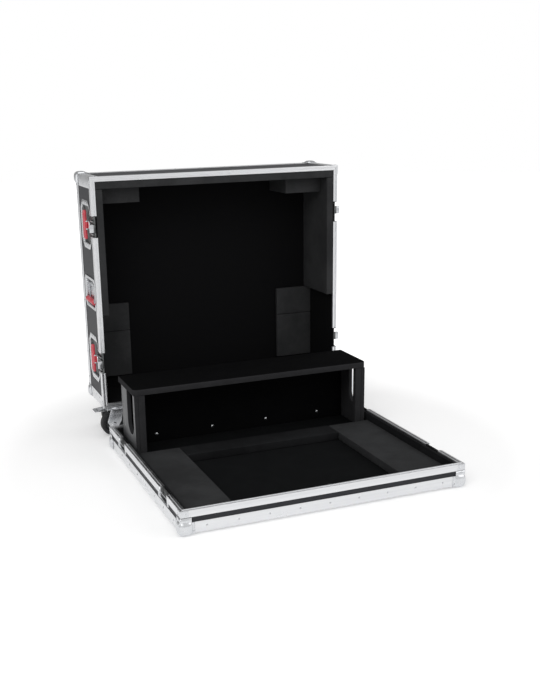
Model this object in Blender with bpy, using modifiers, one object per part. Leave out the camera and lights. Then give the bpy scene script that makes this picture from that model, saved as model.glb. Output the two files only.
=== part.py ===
"""Mixer flight case: a low tray with a cable box, and a deep lid that stands behind it on its casters.

Metres, +Z up. The tray lies in front and the lid stands behind it, open side forward. The origin is on the
floor, in the middle of the whole group. Depths inward from a case side are called insets, depths back from
the lid's open side are called deep, and heights above the lid's lower end are called up.
"""

import math

import bmesh
import bpy
from mathutils import Matrix, Vector

# Main sizes
CASE_WIDTH = 1.000
TRAY_DEPTH = 0.880
TRAY_HEIGHT = 0.084
LID_DEPTH = 0.243
CASTER_HEIGHT = 0.130
STANDING_GAP = 0.0825
CLOSED_GAP = 0.0005

# Sheet, boards, clearances, and how far a joined shape reaches into its neighbour
SHEET = 0.0015
GAP = 0.0003
WALL = 0.0135
FLOOR_BOARD = 0.009
BACK_BOARD = 0.0095
OVERLAP = 0.0005

# Ball corners: a dome whose centre is the same way in from all three faces. The tray stands on its four.
KNOB_RADIUS = 0.025
KNOB_INSET = 0.0165
KNOB_POWER = 3.0
FOOT_FLAT = 0.0005
CORNER_PLATE = 0.002
CORNER_ROUNDING = 0.003
TRAY_CORNER_REACH = (0.045, 0.045, 0.0527)
LID_CORNER_REACH = (0.043, 0.043, 0.043)

# Aluminium sections
RIM_WIDTH = 0.018
RIM_LEG = 0.023
RIM_WEB = 0.002
RIM_INNER_LEG = 0.012
TONGUE_WIDTH = 0.0026
TONGUE_HEIGHT = 0.0024
GROOVE_WIDTH = 0.0054
GROOVE_DEPTH = 0.0035
GROOVE_WALL = 0.0018
TRAY_EDGING_TOP = 0.044
TRAY_EDGING_UNDER = 0.030
LID_EDGING_LEG = 0.035
LID_EDGING_SIDE = 0.043

# Latches: heights up the standing lid, depths back from its open side
LATCH_HEIGHTS = {"lower": 0.181, "upper": 0.699}
LATCH_HUB_DEEP = 0.082
LATCH_POCKET = 0.0122
PRESSING = 0.0012
NECK_HALF = 0.040
MOUTH_OVERRUN = 0.002
LATCH_FLANGE_HALF = 0.091
LATCH_FLANGE_DEEP = (0.030, 0.190)
LATCH_POCKET_HALF = 0.072
LATCH_POCKET_DEEP = (0.040, 0.176)
LATCH_CHAMFER = 0.034
POCKET_SLANT = LATCH_CHAMFER - LATCH_FLANGE_HALF + LATCH_POCKET_HALF + PRESSING
HOLLOW_SLANT = 0.006
HUB_RADIUS = 0.017
HUB_TOP = -0.0012
HUB_LUG = (0.0125, 0.0160)
HUB_LUG_RADIUS = 0.004
HUB_LUG_ROOT = 0.001
WING_PIN_OUT = 0.003
WING_HALF = 0.0545
WING_REACH = (0.006, 0.041)
WING_TOP = 0.006
WING_CORNER = 0.014
WING_NEAR_CORNER = 0.006
WING_ROUNDING = 0.0012
WING_BARREL = 0.003
WING_BARREL_HALF = 0.0122
WING_WEB = 0.0022
HOOK_WIDTH = 0.030
HOOK_OFFSET = 0.006
HOOK_TIP = 0.0008
HOOK_CLEARANCE = 0.0006
# The hook's nose: out from the case side, and back from its tip
HOOK_NOSE = ((0.010, 0.0), (0.010, 0.009), (0.007, 0.011), (-0.005, 0.012), (-0.006, 0.016))

# Keepers in the tray's rim
KEEPER_HALF = 0.057
KEEPER_BOTTOM = 0.0463
STRIKE_HEIGHT = 0.066
STRIKE_HALF = 0.002
STRIKE_OUT = (-0.0055, -0.0025)

# Handles
HANDLE_UP = 0.4395
HANDLE_DEEP = 0.0995
HANDLE_FLANGE = (0.0905, 0.0605)
HANDLE_CHAMFER = 0.018
HANDLE_BACKING = 0.001
HANDLE_POCKET = (0.070, 0.050)
HANDLE_PIN_UP = 0.035
HANDLE_PIN_IN = 0.004
HANDLE_ROD = 0.003
HANDLE_ROD_PLAY = 0.002
BAIL_ARM = 0.060
BAIL_ARM_HALVES = (0.0045, 0.002)
GRIP_DROP = 0.065
GRIP_RADIUS = 0.010
GRIP_END = 0.003

# Casters
CASTER_INSET = 0.065
CASTER_DEEPS = {"front": 0.064, "back": 0.196}
CASTER_TRAILS = {"front": 1, "back": -1}
CASTER_TRAIL = 0.017
WHEEL_RADIUS = 0.048
WHEEL_WIDTH = 0.035
TYRE_SHOULDER = 0.007
# The wheel's face between its boss and its tyre: radius, and distance in from the tyre's side
WHEEL_FACE = ((0.015, 0.007), (0.031, 0.005), (0.034, 0.0005))
WHEEL_BOSS = 0.013
WHEEL_PLAY = 0.0008
AXLE_RADIUS = 0.005
BOLT_HEAD = 0.008
BOLT_HEAD_HEIGHT = 0.004
FORK_INNER = 0.0205
FORK_SHEET = 0.003
RACE_RADIUS = 0.030
CROWN_BOTTOM = 0.1045
CROWN_THICKNESS = 0.0055
CROWN_REACH = (-0.022, 0.028)
LEG_ROOT = (-0.0215, 0.0275)
LEG_SHOULDER = (-0.0125, 0.044)
LEG_SHOULDER_HEIGHT = 0.060
LEG_FOOT_HALF = 0.012
LEG_FOOT_HEIGHT = 0.031
PEDAL_PIN = (0.036, 0.1135)
PEDAL_BARREL = 0.004
PEDAL_LUG = 0.003
PEDAL_ROOT_HALF = 0.014
PEDAL_TREAD_HALF = 0.022
PEDAL_TIP = 0.092
PEDAL_DROP = 0.0075
PLATE_THICKNESS = 0.003
PLATE_INSETS = (0.030, 0.100)
PLATE_DEEPS = (0.012, 0.236)
PLATE_CUT_INSET = 0.045
PLATE_CUT_DEEPS = (0.183, 0.198)

# Cable box in the tray
BOX_FRONT = 0.636
BOX_TOP = 0.287
SHELF_THICKNESS = 0.022
SHELF_INSET = 0.036
SHELF_BACK = 0.850
SHELF_CORNER = 0.020
BOX_SIDE_INSET = (0.039, 0.079)
BOX_SIDE_SETBACK = 0.002
BOX_SIDE_BACK = 0.820
SLOT = (0.660, 0.742)
SLOT_BOTTOM = 0.106
BOX_BACK = (0.8065, 0.820)

# Foam
LINING = 0.010
LINING_TOP = 0.0795
CARPET = 0.004
PAD_TOP = 0.053
PAD_INNER = 0.199
PAD_BACK = 0.630
PAD_ROUNDING = 0.002
STRIP = (0.540, 0.6335)
LID_FOAM_FRONT = 0.002
LINER = 0.0267
LINER_BOTTOM = 0.364
TOP_LINER = 0.0277
BLOCK_INNER = 0.200
BLOCK_BOTTOM = 0.775
BLOCK_DEEP = 0.060
LID_PAD_INNER = 0.176
LID_PAD_BOTTOM = 0.066
LID_PAD = 0.017

# Worked out
HALF = CASE_WIDTH / 2
FRONT = -(TRAY_DEPTH + STANDING_GAP + LID_DEPTH) / 2
TRAY_BACK = FRONT + TRAY_DEPTH
LID_OPEN = TRAY_BACK + STANDING_GAP
LID_BACK = LID_OPEN + LID_DEPTH
LID_BOTTOM = CASTER_HEIGHT
LID_TOP = LID_BOTTOM + TRAY_DEPTH
UNDERSIDE = KNOB_RADIUS - KNOB_INSET - FOOT_FLAT
PANEL_INSET = SHEET + GAP
WALL_INNER = PANEL_INSET + WALL
RIM_BOTTOM = TRAY_HEIGHT - RIM_LEG
FLOOR_BOTTOM = UNDERSIDE + SHEET + GAP
FLOOR_TOP = FLOOR_BOTTOM + FLOOR_BOARD
FOAM_INSET = RIM_WIDTH + GAP
LINING_INNER = FOAM_INSET + LINING
CARPET_TOP = FLOOR_TOP + GAP + CARPET
RIM_MIDDLE = RIM_WIDTH / 2
POCKET_CUT = LATCH_POCKET + GAP
SIDES = {"left": -1, "right": 1}
FAR = 2.0


# Collections

def new_collection(name):
    collection = bpy.data.collections.new(name)
    bpy.context.scene.collection.children.link(collection)
    return collection


for old in list(bpy.data.objects):
    bpy.data.objects.remove(old, do_unlink=True)

PARTS = new_collection("mixer_flight_case")
CUTTERS = new_collection("cutters")


# Materials

def material(name, colour, roughness, metallic=0.0):
    made = bpy.data.materials.new(name)
    made.use_nodes = True
    shader = made.node_tree.nodes["Principled BSDF"]
    shader.inputs["Base Color"].default_value = (*colour, 1.0)
    shader.inputs["Roughness"].default_value = roughness
    shader.inputs["Metallic"].default_value = metallic
    made.diffuse_color = (*colour, 1.0)
    return made


ALUMINIUM = material("aluminium", (0.80, 0.81, 0.83), 0.35, 1.0)
STEEL = material("zinc_steel", (0.72, 0.73, 0.75), 0.30, 1.0)
LAMINATE = material("laminate", (0.055, 0.057, 0.062), 0.45)
CARPETED = material("carpeted_plywood", (0.022, 0.022, 0.024), 0.95)
FOAM = material("grey_foam", (0.035, 0.036, 0.038), 0.95)
LINING_FELT = material("black_lining", (0.012, 0.012, 0.013), 0.95)
RED = material("red_plastic", (0.62, 0.045, 0.060), 0.40)
TYRE = material("tyre", (0.030, 0.030, 0.032), 0.60)


# Shapes

def add_object(name, mesh, collection):
    made = bpy.data.objects.new(name, mesh)
    collection.objects.link(made)
    return made


def as_cutter(shape):
    for collection in list(shape.users_collection):
        collection.objects.unlink(shape)
    CUTTERS.objects.link(shape)
    shape.hide_render = True
    shape.display_type = "WIRE"
    return shape


def box(name, low, high):
    """A box between two corners, with its origin at its middle."""
    low = Vector(low)
    high = Vector(high)
    bm = bmesh.new()
    bmesh.ops.create_cube(bm, size=1.0, matrix=Matrix.Diagonal((*(high - low), 1.0)))
    mesh = bpy.data.meshes.new(name)
    bm.to_mesh(mesh)
    bm.free()
    made = add_object(name, mesh, PARTS)
    made.location = (low + high) / 2
    return made


def rod(name, radius, start, end, segments=24):
    """A straight round bar between two points."""
    start = Vector(start)
    end = Vector(end)
    bm = bmesh.new()
    bmesh.ops.create_cone(bm, cap_ends=True, segments=segments, radius1=radius,
                          radius2=radius, depth=(end - start).length)
    mesh = bpy.data.meshes.new(name)
    bm.to_mesh(mesh)
    bm.free()
    made = add_object(name, mesh, PARTS)
    made.location = (start + end) / 2
    made.rotation_mode = "QUATERNION"
    made.rotation_quaternion = (end - start).to_track_quat("Z", "Y")
    return made


def knob(name):
    """The dome of a ball corner: a ball squared off a little towards the axes, as the power says."""
    bm = bmesh.new()
    bmesh.ops.create_uvsphere(bm, u_segments=24, v_segments=12, radius=1.0)
    for vertex in bm.verts:
        size = sum(abs(part) ** KNOB_POWER for part in vertex.co) ** (1 / KNOB_POWER)
        vertex.co *= KNOB_RADIUS / size
    mesh = bpy.data.meshes.new(name)
    bm.to_mesh(mesh)
    bm.free()
    made = add_object(name, mesh, PARTS)
    made.location = (KNOB_INSET, KNOB_INSET, KNOB_INSET)
    return made


# Where a flat outline's own two directions and its thickness point, for each direction of thickness
PLANES = {
    "x": Matrix(((0, 0, 1, 0), (1, 0, 0, 0), (0, 1, 0, 0), (0, 0, 0, 1))),
    "y": Matrix(((1, 0, 0, 0), (0, 0, -1, 0), (0, 1, 0, 0), (0, 0, 0, 1))),
    "z": Matrix.Identity(4),
}


def plate(name, outlines, along, low, high):
    """Flat outlines, the second a hole in the first, filled and thickened along x, y or z."""
    curve = bpy.data.curves.new(name, "CURVE")
    curve.dimensions = "2D"
    curve.fill_mode = "BOTH"
    curve.extrude = (high - low) / 2
    for points in outlines:
        spline = curve.splines.new("POLY")
        spline.points.add(len(points) - 1)
        for point, (u, v) in zip(spline.points, points):
            point.co = (u, v, 0.0, 1.0)
        spline.use_cyclic_u = True
    guide = add_object(name + "_outline", curve, PARTS)
    middle = (low + high) / 2
    mesh = mesh_of(guide)
    mesh.name = name
    bm = bmesh.new()
    bm.from_mesh(mesh)
    bmesh.ops.remove_doubles(bm, verts=bm.verts, dist=0.00001)
    bmesh.ops.transform(bm, matrix=PLANES[along] @ Matrix.Translation((0, 0, middle_of(along, middle))),
                        verts=bm.verts)
    bmesh.ops.recalc_face_normals(bm, faces=bm.faces)
    bm.to_mesh(mesh)
    bm.free()
    bpy.data.objects.remove(guide, do_unlink=True)
    return add_object(name, mesh, PARTS)


def middle_of(along, middle):
    """The y plane's thickness points forward, so its middle is measured the other way."""
    return -middle if along == "y" else middle


def mesh_of(shape):
    """The shape as the viewport shows it, in its own coordinates."""
    depsgraph = bpy.context.evaluated_depsgraph_get()
    return bpy.data.meshes.new_from_object(shape.evaluated_get(depsgraph))


def rectangle(u0, u1, v0, v1):
    return [(u0, v0), (u1, v0), (u1, v1), (u0, v1)]


def chamfered(u0, u1, v0, v1, cut):
    return [(u0 + cut, v0), (u1 - cut, v0), (u1, v0 + cut), (u1, v1 - cut),
            (u1 - cut, v1), (u0 + cut, v1), (u0, v1 - cut), (u0, v0 + cut)]


def arc(centre_u, centre_v, radius, start, end, steps):
    """Points of an arc, angles in degrees."""
    points = []
    for step in range(steps + 1):
        angle = math.radians(start + (end - start) * step / steps)
        points.append((centre_u + radius * math.cos(angle), centre_v + radius * math.sin(angle)))
    return points


def boolean(shape, other, operation):
    modifier = shape.modifiers.new(operation.lower(), "BOOLEAN")
    modifier.operation = operation
    modifier.object = as_cutter(other)
    return shape


def cut(shape, *others):
    for other in others:
        boolean(shape, other, "DIFFERENCE")
    return shape


def join(shape, *others):
    for other in others:
        boolean(shape, other, "UNION")
    return shape


def rounded(shape, width, segments=2, angle=40):
    modifier = shape.modifiers.new("bevel", "BEVEL")
    modifier.width = width
    modifier.segments = segments
    modifier.limit_method = "ANGLE"
    modifier.angle_limit = math.radians(angle)
    return shape


def settled_mesh(shape, turn=None):
    """A repeated piece's mesh, with its modifiers worked in and the shapes that cut it taken away."""
    bpy.context.view_layer.update()
    mesh = mesh_of(shape)
    mesh.transform(shape.matrix_world)
    if turn is not None:
        mesh.transform(turn)
    helpers = [modifier.object for modifier in shape.modifiers if modifier.type == "BOOLEAN"]
    for helper in helpers + [shape]:
        remove_with_helpers(helper)
    return mesh


def remove_with_helpers(shape):
    for modifier in shape.modifiers:
        if modifier.type == "BOOLEAN" and modifier.object:
            remove_with_helpers(modifier.object)
    bpy.data.objects.remove(shape, do_unlink=True)


def finish(shape, made_of, smooth=False):
    shape.data.materials.clear()
    shape.data.materials.append(made_of)
    if smooth:
        shape.data.shade_smooth()
        shape.data.set_sharp_from_angle(angle=math.radians(35))
    return shape


def copy_of(mesh, name, made_of, place, turn=None, parent=None):
    """One copy of a repeated piece, its origin at the given place."""
    made = add_object(name, mesh, PARTS)
    made.matrix_world = Matrix.Translation(place) @ (turn or Matrix.Identity(4))
    finish(made, made_of, smooth=True)
    if parent is not None:
        bpy.context.view_layer.update()
        made.parent = parent
        made.matrix_parent_inverse = parent.matrix_world.inverted()
    return made


# Places on the tray and on the lid

def tray_box(name, inset, bottom, top):
    return box(name, (-HALF + inset, FRONT + inset, bottom), (HALF - inset, TRAY_BACK - inset, top))


def lid_box(name, inset, deep0, deep1):
    return box(name, (-HALF + inset, LID_OPEN + deep0, LID_BOTTOM + inset),
               (HALF - inset, LID_OPEN + deep1, LID_TOP - inset))


def tray_ring(name, outer, inner, bottom, top):
    outlines = [rectangle(-HALF + inset, HALF - inset, FRONT + inset, TRAY_BACK - inset)
                for inset in (outer, inner)]
    return plate(name, outlines, "z", bottom, top)


def lid_ring(name, outer, inner, deep0, deep1):
    outlines = [rectangle(-HALF + inset, HALF - inset, LID_BOTTOM + inset, LID_TOP - inset)
                for inset in (outer, inner)]
    return plate(name, outlines, "y", LID_OPEN + deep0, LID_OPEN + deep1)


def side_box(name, side, inset0, inset1, y0, y1, z0, z1):
    """A box near one side of the case, between two insets."""
    x0 = side * (HALF - inset0)
    x1 = side * (HALF - inset1)
    return box(name, (min(x0, x1), y0, z0), (max(x0, x1), y1, z1))


def lid_side_box(name, side, inset0, inset1, deep0, deep1, up0, up1):
    return side_box(name, side, inset0, inset1, LID_OPEN + deep0, LID_OPEN + deep1,
                    LID_BOTTOM + up0, LID_BOTTOM + up1)


def keeper_y(up):
    """A latch's height up the standing lid is the same distance forward from the tray's back."""
    return TRAY_BACK - up


# Tray shell

def make_tray_floor():
    finish(tray_box("tray_floor", PANEL_INSET, FLOOR_BOTTOM, FLOOR_TOP), LAMINATE)


def make_tray_walls():
    walls = tray_ring("tray_walls", PANEL_INSET, WALL_INNER, FLOOR_TOP + GAP, TRAY_HEIGHT - RIM_WEB - GAP)
    for side in SIDES.values():
        for up in LATCH_HEIGHTS.values():
            middle = keeper_y(up)
            cut(walls, side_box("keeper_hollow", side, -FAR, POCKET_CUT, middle - NECK_HALF,
                                middle + NECK_HALF, KEEPER_BOTTOM - GAP, FAR))
    finish(walls, LAMINATE)


def make_tray_base_edging():
    edging = tray_box("tray_base_edging", 0.0, UNDERSIDE, TRAY_EDGING_TOP)
    cut(edging, tray_box("edging_inside", SHEET, UNDERSIDE + SHEET, FAR),
        tray_box("edging_window", TRAY_EDGING_UNDER, -FAR, FAR))
    finish(edging, ALUMINIUM)


def make_tray_rim():
    rim = tray_ring("tray_rim", 0.0, RIM_WIDTH, RIM_BOTTOM, TRAY_HEIGHT)
    cut(rim, tray_ring("rim_channel", SHEET, RIM_WIDTH - SHEET, 0.0, TRAY_HEIGHT - RIM_WEB),
        tray_box("rim_inner_leg_end", RIM_WIDTH - 2 * SHEET, 0.0, TRAY_HEIGHT - RIM_INNER_LEG))
    join(rim, tray_ring("tongue", RIM_MIDDLE - TONGUE_WIDTH / 2, RIM_MIDDLE + TONGUE_WIDTH / 2,
                        TRAY_HEIGHT - RIM_WEB / 2, TRAY_HEIGHT + TONGUE_HEIGHT))
    for side in SIDES.values():
        for up in LATCH_HEIGHTS.values():
            middle = keeper_y(up)
            cut(rim, side_box("rim_notch", side, -FAR, POCKET_CUT, middle - NECK_HALF,
                              middle + NECK_HALF, 0.0, FAR))
    finish(rim, ALUMINIUM)


def keeper_mesh():
    """A keeper for the right side: x outward from the case side, y along the case, z up from the floor."""
    half = NECK_HALF - GAP
    cup_top = TRAY_HEIGHT - GAP
    keeper = box("keeper", (-LATCH_POCKET, -half, KEEPER_BOTTOM), (-GAP, half, cup_top))
    flange_top = RIM_BOTTOM - GAP
    join(keeper, box("keeper_flange", (-SHEET, -KEEPER_HALF, KEEPER_BOTTOM + GAP),
                     (-GAP, KEEPER_HALF, flange_top)))
    cut(keeper, box("keeper_cup", (-LATCH_POCKET + PRESSING, -half + PRESSING, KEEPER_BOTTOM + PRESSING),
                    (FAR, half - PRESSING, FAR)))
    strike_half = half - PRESSING / 2
    join(keeper, box("keeper_strike", (STRIKE_OUT[0], -strike_half, STRIKE_HEIGHT - STRIKE_HALF),
                     (STRIKE_OUT[1], strike_half, STRIKE_HEIGHT + STRIKE_HALF)))
    return settled_mesh(keeper)


def corner_mesh(reach, stands):
    """A ball corner round a case corner at the origin, with the case towards +x, +y and +z."""
    shell = rounded(box("corner", (-CORNER_PLATE,) * 3, reach), CORNER_ROUNDING, segments=3)
    dome = knob("corner_knob")
    if stands:
        cut(dome, box("corner_foot", (-FAR, -FAR, -FAR), (FAR, FAR, -UNDERSIDE)))
    join(shell, dome)
    cut(shell, box("corner_inside", (-GAP, -GAP, -GAP), (FAR, FAR, FAR)))
    return settled_mesh(shell)


def mirrored(mesh, signs):
    """A copy of a mesh turned over along the axes whose sign is negative."""
    bm = bmesh.new()
    bm.from_mesh(mesh)
    bmesh.ops.transform(bm, matrix=Matrix.Diagonal((*signs, 1.0)), verts=bm.verts)
    if signs[0] * signs[1] * signs[2] < 0:
        bmesh.ops.reverse_faces(bm, faces=bm.faces)
    made = mesh.copy()
    bm.to_mesh(made)
    bm.free()
    return made


def make_corners(lid):
    tray_mesh = corner_mesh(TRAY_CORNER_REACH, stands=True)
    lid_mesh = corner_mesh(LID_CORNER_REACH, stands=False)
    for side_name, side in SIDES.items():
        for end_name, end, y in (("front", 1, FRONT), ("back", -1, TRAY_BACK)):
            copy_of(mirrored(tray_mesh, (-side, end, 1)), f"tray_corner_{end_name}_{side_name}", STEEL,
                    (side * HALF, y, UNDERSIDE))
        for end_name, end, z in (("bottom", 1, LID_BOTTOM), ("top", -1, LID_TOP)):
            copy_of(mirrored(lid_mesh, (-side, -1, end)), f"lid_corner_{end_name}_{side_name}", STEEL,
                    (side * HALF, LID_BACK, z), parent=lid)


def make_keepers():
    mesh = keeper_mesh()
    turned = Matrix.Rotation(math.pi, 4, "Z")
    for side_name, side in SIDES.items():
        for end_name, latch in (("front", "upper"), ("back", "lower")):
            copy_of(mesh, f"keeper_{end_name}_{side_name}", STEEL,
                    (side * HALF, keeper_y(LATCH_HEIGHTS[latch]), 0.0), turned if side < 0 else None)


# Tray foam

def make_tray_lining():
    lining = tray_box("tray_lining", FOAM_INSET, FLOOR_TOP + GAP, LINING_TOP)
    cut(lining, tray_box("lining_inside", LINING_INNER, CARPET_TOP, FAR))
    inner = HALF - PAD_INNER - GAP
    join(lining, box("lining_strip", (-inner, FRONT + STRIP[0], CARPET_TOP - OVERLAP),
                     (inner, FRONT + STRIP[1], PAD_TOP)))
    finish(lining, LINING_FELT)


def make_tray_pads():
    for side_name, side in SIDES.items():
        pad = side_box(f"tray_pad_{side_name}", side, LINING_INNER + GAP, PAD_INNER,
                       FRONT + LINING_INNER + GAP, FRONT + PAD_BACK, CARPET_TOP + GAP, PAD_TOP)
        finish(rounded(pad, PAD_ROUNDING), FOAM)


# Cable box

def make_cable_box():
    corner = SHELF_CORNER
    u = HALF - SHELF_INSET
    front = FRONT + BOX_FRONT
    back = FRONT + SHELF_BACK
    outline = arc(u - corner, front + corner, corner, -90, 0, 6) + [(u, back), (-u, back)]
    outline += arc(-u + corner, front + corner, corner, 180, 270, 6)
    shelf = plate("cable_box_shelf", [outline], "z", BOX_TOP - SHELF_THICKNESS, BOX_TOP)
    finish(shelf, CARPETED)

    side_top = BOX_TOP - SHELF_THICKNESS - GAP
    bottom = CARPET_TOP + GAP
    for side_name, side in SIDES.items():
        panel = side_box(f"cable_box_side_{side_name}", side, *BOX_SIDE_INSET,
                         front + BOX_SIDE_SETBACK, FRONT + BOX_SIDE_BACK, bottom, side_top)
        slot_middle = FRONT + sum(SLOT) / 2
        slot_radius = (SLOT[1] - SLOT[0]) / 2
        low = SLOT_BOTTOM + slot_radius
        slot_outline = arc(slot_middle, low, slot_radius, 180, 360, 12)
        slot_outline += [(slot_middle + slot_radius, FAR), (slot_middle - slot_radius, FAR)]
        cut(panel, plate("slot", [slot_outline], "x", -FAR, FAR))
        finish(panel, CARPETED)

    inner = HALF - BOX_SIDE_INSET[1] - GAP
    back_panel = box("cable_box_back", (-inner, FRONT + BOX_BACK[0], bottom),
                     (inner, FRONT + BOX_BACK[1], side_top))
    finish(back_panel, CARPETED)


# Lid shell

def make_lid_panel():
    deep1 = LID_DEPTH - PANEL_INSET
    return finish(lid_box("lid_panel", PANEL_INSET, deep1 - BACK_BOARD, deep1), LAMINATE)


def make_lid_walls():
    deep0 = GROOVE_DEPTH + GROOVE_WALL + 2 * GAP
    deep1 = LID_DEPTH - PANEL_INSET - BACK_BOARD - GAP
    walls = lid_ring("lid_walls", PANEL_INSET, WALL_INNER, deep0, deep1)
    for side in SIDES.values():
        for up in LATCH_HEIGHTS.values():
            hollow = plate("latch_hollow", [latch_outline(GAP, HOLLOW_SLANT, open_end=True)], "x",
                           -POCKET_CUT, FAR)
            place_latch_cutter(hollow, side, up)
            cut(walls, hollow)
        half_deep, half_up = HANDLE_POCKET
        cut(walls, lid_side_box("handle_hollow", side, -FAR, POCKET_CUT,
                                HANDLE_DEEP - half_deep - GAP, HANDLE_DEEP + half_deep + GAP,
                                HANDLE_UP - half_up - GAP, HANDLE_UP + half_up + GAP))
    return finish(walls, LAMINATE)


def make_lid_rim():
    rim = lid_ring("lid_rim", 0.0, RIM_WIDTH, 0.0, RIM_LEG)
    groove_half = GROOVE_WIDTH / 2 + GROOVE_WALL
    web = GROOVE_DEPTH + GROOVE_WALL
    cut(rim, lid_ring("rim_channel_deep", SHEET, RIM_WIDTH - SHEET, web, FAR),
        lid_ring("rim_channel_outer", SHEET, RIM_MIDDLE - groove_half, RIM_WEB, web + SHEET),
        lid_ring("rim_channel_inner", RIM_MIDDLE + groove_half, RIM_WIDTH - SHEET, RIM_WEB, web + SHEET),
        lid_box("rim_inner_leg_end", RIM_WIDTH - 2 * SHEET, RIM_INNER_LEG, FAR),
        lid_ring("groove", RIM_MIDDLE - GROOVE_WIDTH / 2, RIM_MIDDLE + GROOVE_WIDTH / 2, -FAR, GROOVE_DEPTH))
    for side in SIDES.values():
        for up in LATCH_HEIGHTS.values():
            cut(rim, lid_side_box("rim_notch", side, -FAR, POCKET_CUT, -FAR, RIM_LEG + FAR,
                                  up - NECK_HALF, up + NECK_HALF))
    return finish(rim, ALUMINIUM)


def make_lid_edging():
    """A thin shell round the lid with a window in each face, which leaves an angle along every edge."""
    edging = lid_box("lid_edging", 0.0, RIM_LEG + GAP, LID_DEPTH)
    cut(edging, lid_box("edging_inside", SHEET, -FAR, LID_DEPTH - SHEET))
    side_deep = LID_DEPTH - LID_EDGING_LEG
    across = HALF - LID_EDGING_LEG
    low = LID_BOTTOM + LID_EDGING_SIDE
    high = LID_TOP - LID_EDGING_SIDE
    cut(edging,
        box("back_window", (-across, LID_OPEN, LID_BOTTOM + LID_EDGING_LEG),
            (across, FAR, LID_TOP - LID_EDGING_LEG)),
        box("side_window", (-FAR, LID_OPEN - FAR, low), (FAR, LID_OPEN + side_deep, high)),
        box("end_window", (-across, LID_OPEN - FAR, -FAR), (across, LID_OPEN + side_deep, FAR)))
    return finish(edging, ALUMINIUM)


def make_lid_foam():
    """Side and top liners, two blocks in the top corners and two flat pads low on the back panel."""
    deep1 = LID_DEPTH - PANEL_INSET - BACK_BOARD - GAP
    top = TRAY_DEPTH - FOAM_INSET
    foam = lid_foam_box("lid_foam", -(HALF - FOAM_INSET), HALF - FOAM_INSET, LID_FOAM_FRONT,
                        deep1, top - TOP_LINER, top)
    for side in SIDES.values():
        outer = side * (HALF - FOAM_INSET)
        liner = side * (HALF - FOAM_INSET - LINER)
        block = side * (HALF - BLOCK_INNER)
        pad = side * (HALF - LID_PAD_INNER)
        join(foam,
             lid_foam_box("side_liner", outer, liner, LID_FOAM_FRONT, deep1, LINER_BOTTOM,
                          top - TOP_LINER + OVERLAP),
             lid_foam_box("top_block", liner + side * OVERLAP, block, BLOCK_DEEP, deep1, BLOCK_BOTTOM,
                          top - TOP_LINER + OVERLAP),
             lid_foam_box("back_pad", outer, pad, deep1 - LID_PAD, deep1, LID_PAD_BOTTOM,
                          LINER_BOTTOM + OVERLAP))
    return finish(foam, FOAM)


def lid_foam_box(name, x0, x1, deep0, deep1, up0, up1):
    return box(name, (min(x0, x1), LID_OPEN + deep0, LID_BOTTOM + up0),
               (max(x0, x1), LID_OPEN + deep1, LID_BOTTOM + up1))


# Latches. Each is made for the right side, with its origin on the hub's axis at the case side:
# x outward, y back into the lid's depth, z up. The left ones are turned half round the y axis.

def latch_outline(grow, slant, open_end):
    """The pocket with its neck to the lid's open side, as y and z points."""
    near = LATCH_POCKET_DEEP[0] - LATCH_HUB_DEEP - grow
    far = LATCH_POCKET_DEEP[1] - LATCH_HUB_DEEP + grow
    half = LATCH_POCKET_HALF + grow
    neck = NECK_HALF - GAP + grow
    mouth = -LATCH_HUB_DEEP + (-MOUTH_OVERRUN if open_end else GAP)
    return [(mouth, -neck), (near, -neck), (near, -half + slant), (near + slant, -half),
            (far - slant, -half), (far, -half + slant), (far, half - slant), (far - slant, half),
            (near + slant, half), (near, half - slant), (near, neck), (mouth, neck)]


def place_latch_cutter(shape, side, up):
    shape.location = (side * HALF, LID_OPEN + LATCH_HUB_DEEP, LID_BOTTOM + up)
    if side < 0:
        shape.rotation_euler = (0.0, math.pi, 0.0)


def latch_dish_mesh():
    cup = plate("latch_dish", [latch_outline(0.0, POCKET_SLANT, open_end=False)], "x", -LATCH_POCKET, -GAP)
    near = LATCH_FLANGE_DEEP[0] - LATCH_HUB_DEEP
    far = LATCH_FLANGE_DEEP[1] - LATCH_HUB_DEEP
    flange = chamfered(near, far, -LATCH_FLANGE_HALF, LATCH_FLANGE_HALF, LATCH_CHAMFER)
    join(cup, plate("latch_flange", [flange], "x", -SHEET, -2 * GAP / 3))
    cut(cup, plate("latch_cup", [latch_outline(-PRESSING, POCKET_SLANT, open_end=True)], "x",
                   -LATCH_POCKET + PRESSING, FAR))
    return settled_mesh(cup)


def latch_hub_mesh():
    floor = -LATCH_POCKET + PRESSING + GAP
    hub = rod("latch_hub", HUB_RADIUS, (floor, 0, 0), (HUB_TOP, 0, 0), segments=32)
    radius = HUB_LUG_RADIUS
    root = HUB_TOP - HUB_LUG_ROOT
    lug = [(root, -radius)] + arc(WING_PIN_OUT, 0.0, radius, -90, 90, 8) + [(root, radius)]
    for side in (-1, 1):
        z0, z1 = sorted((side * HUB_LUG[0], side * HUB_LUG[1]))
        join(hub, plate("hub_lug", [lug], "z", z0, z1))
    return settled_mesh(hub)


def wing_mesh():
    """The wing lying flat, its origin on its hinge axis, which runs along z."""
    near, far = WING_REACH
    outline = []
    for u, v, corner, start in ((far, -WING_HALF, WING_CORNER, -90), (far, WING_HALF, WING_CORNER, 0),
                                (near, WING_HALF, WING_NEAR_CORNER, 90),
                                (near, -WING_HALF, WING_NEAR_CORNER, 180)):
        centre_u = u - corner if u == far else u + corner
        centre_v = v - math.copysign(corner, v)
        outline += arc(centre_u, centre_v, corner, start, start + 90, 4)
    wing = plate("latch_wing", [outline], "x", GAP - WING_PIN_OUT, WING_TOP)
    rounded(wing, WING_ROUNDING, segments=1)
    barrel = WING_BARREL_HALF
    join(wing, box("wing_web", (-WING_WEB, -OVERLAP, -barrel), (WING_WEB, near + WING_WEB, barrel)),
         rod("wing_barrel", WING_BARREL, (0, 0, -barrel), (0, 0, barrel), segments=16))
    return settled_mesh(wing)


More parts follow.
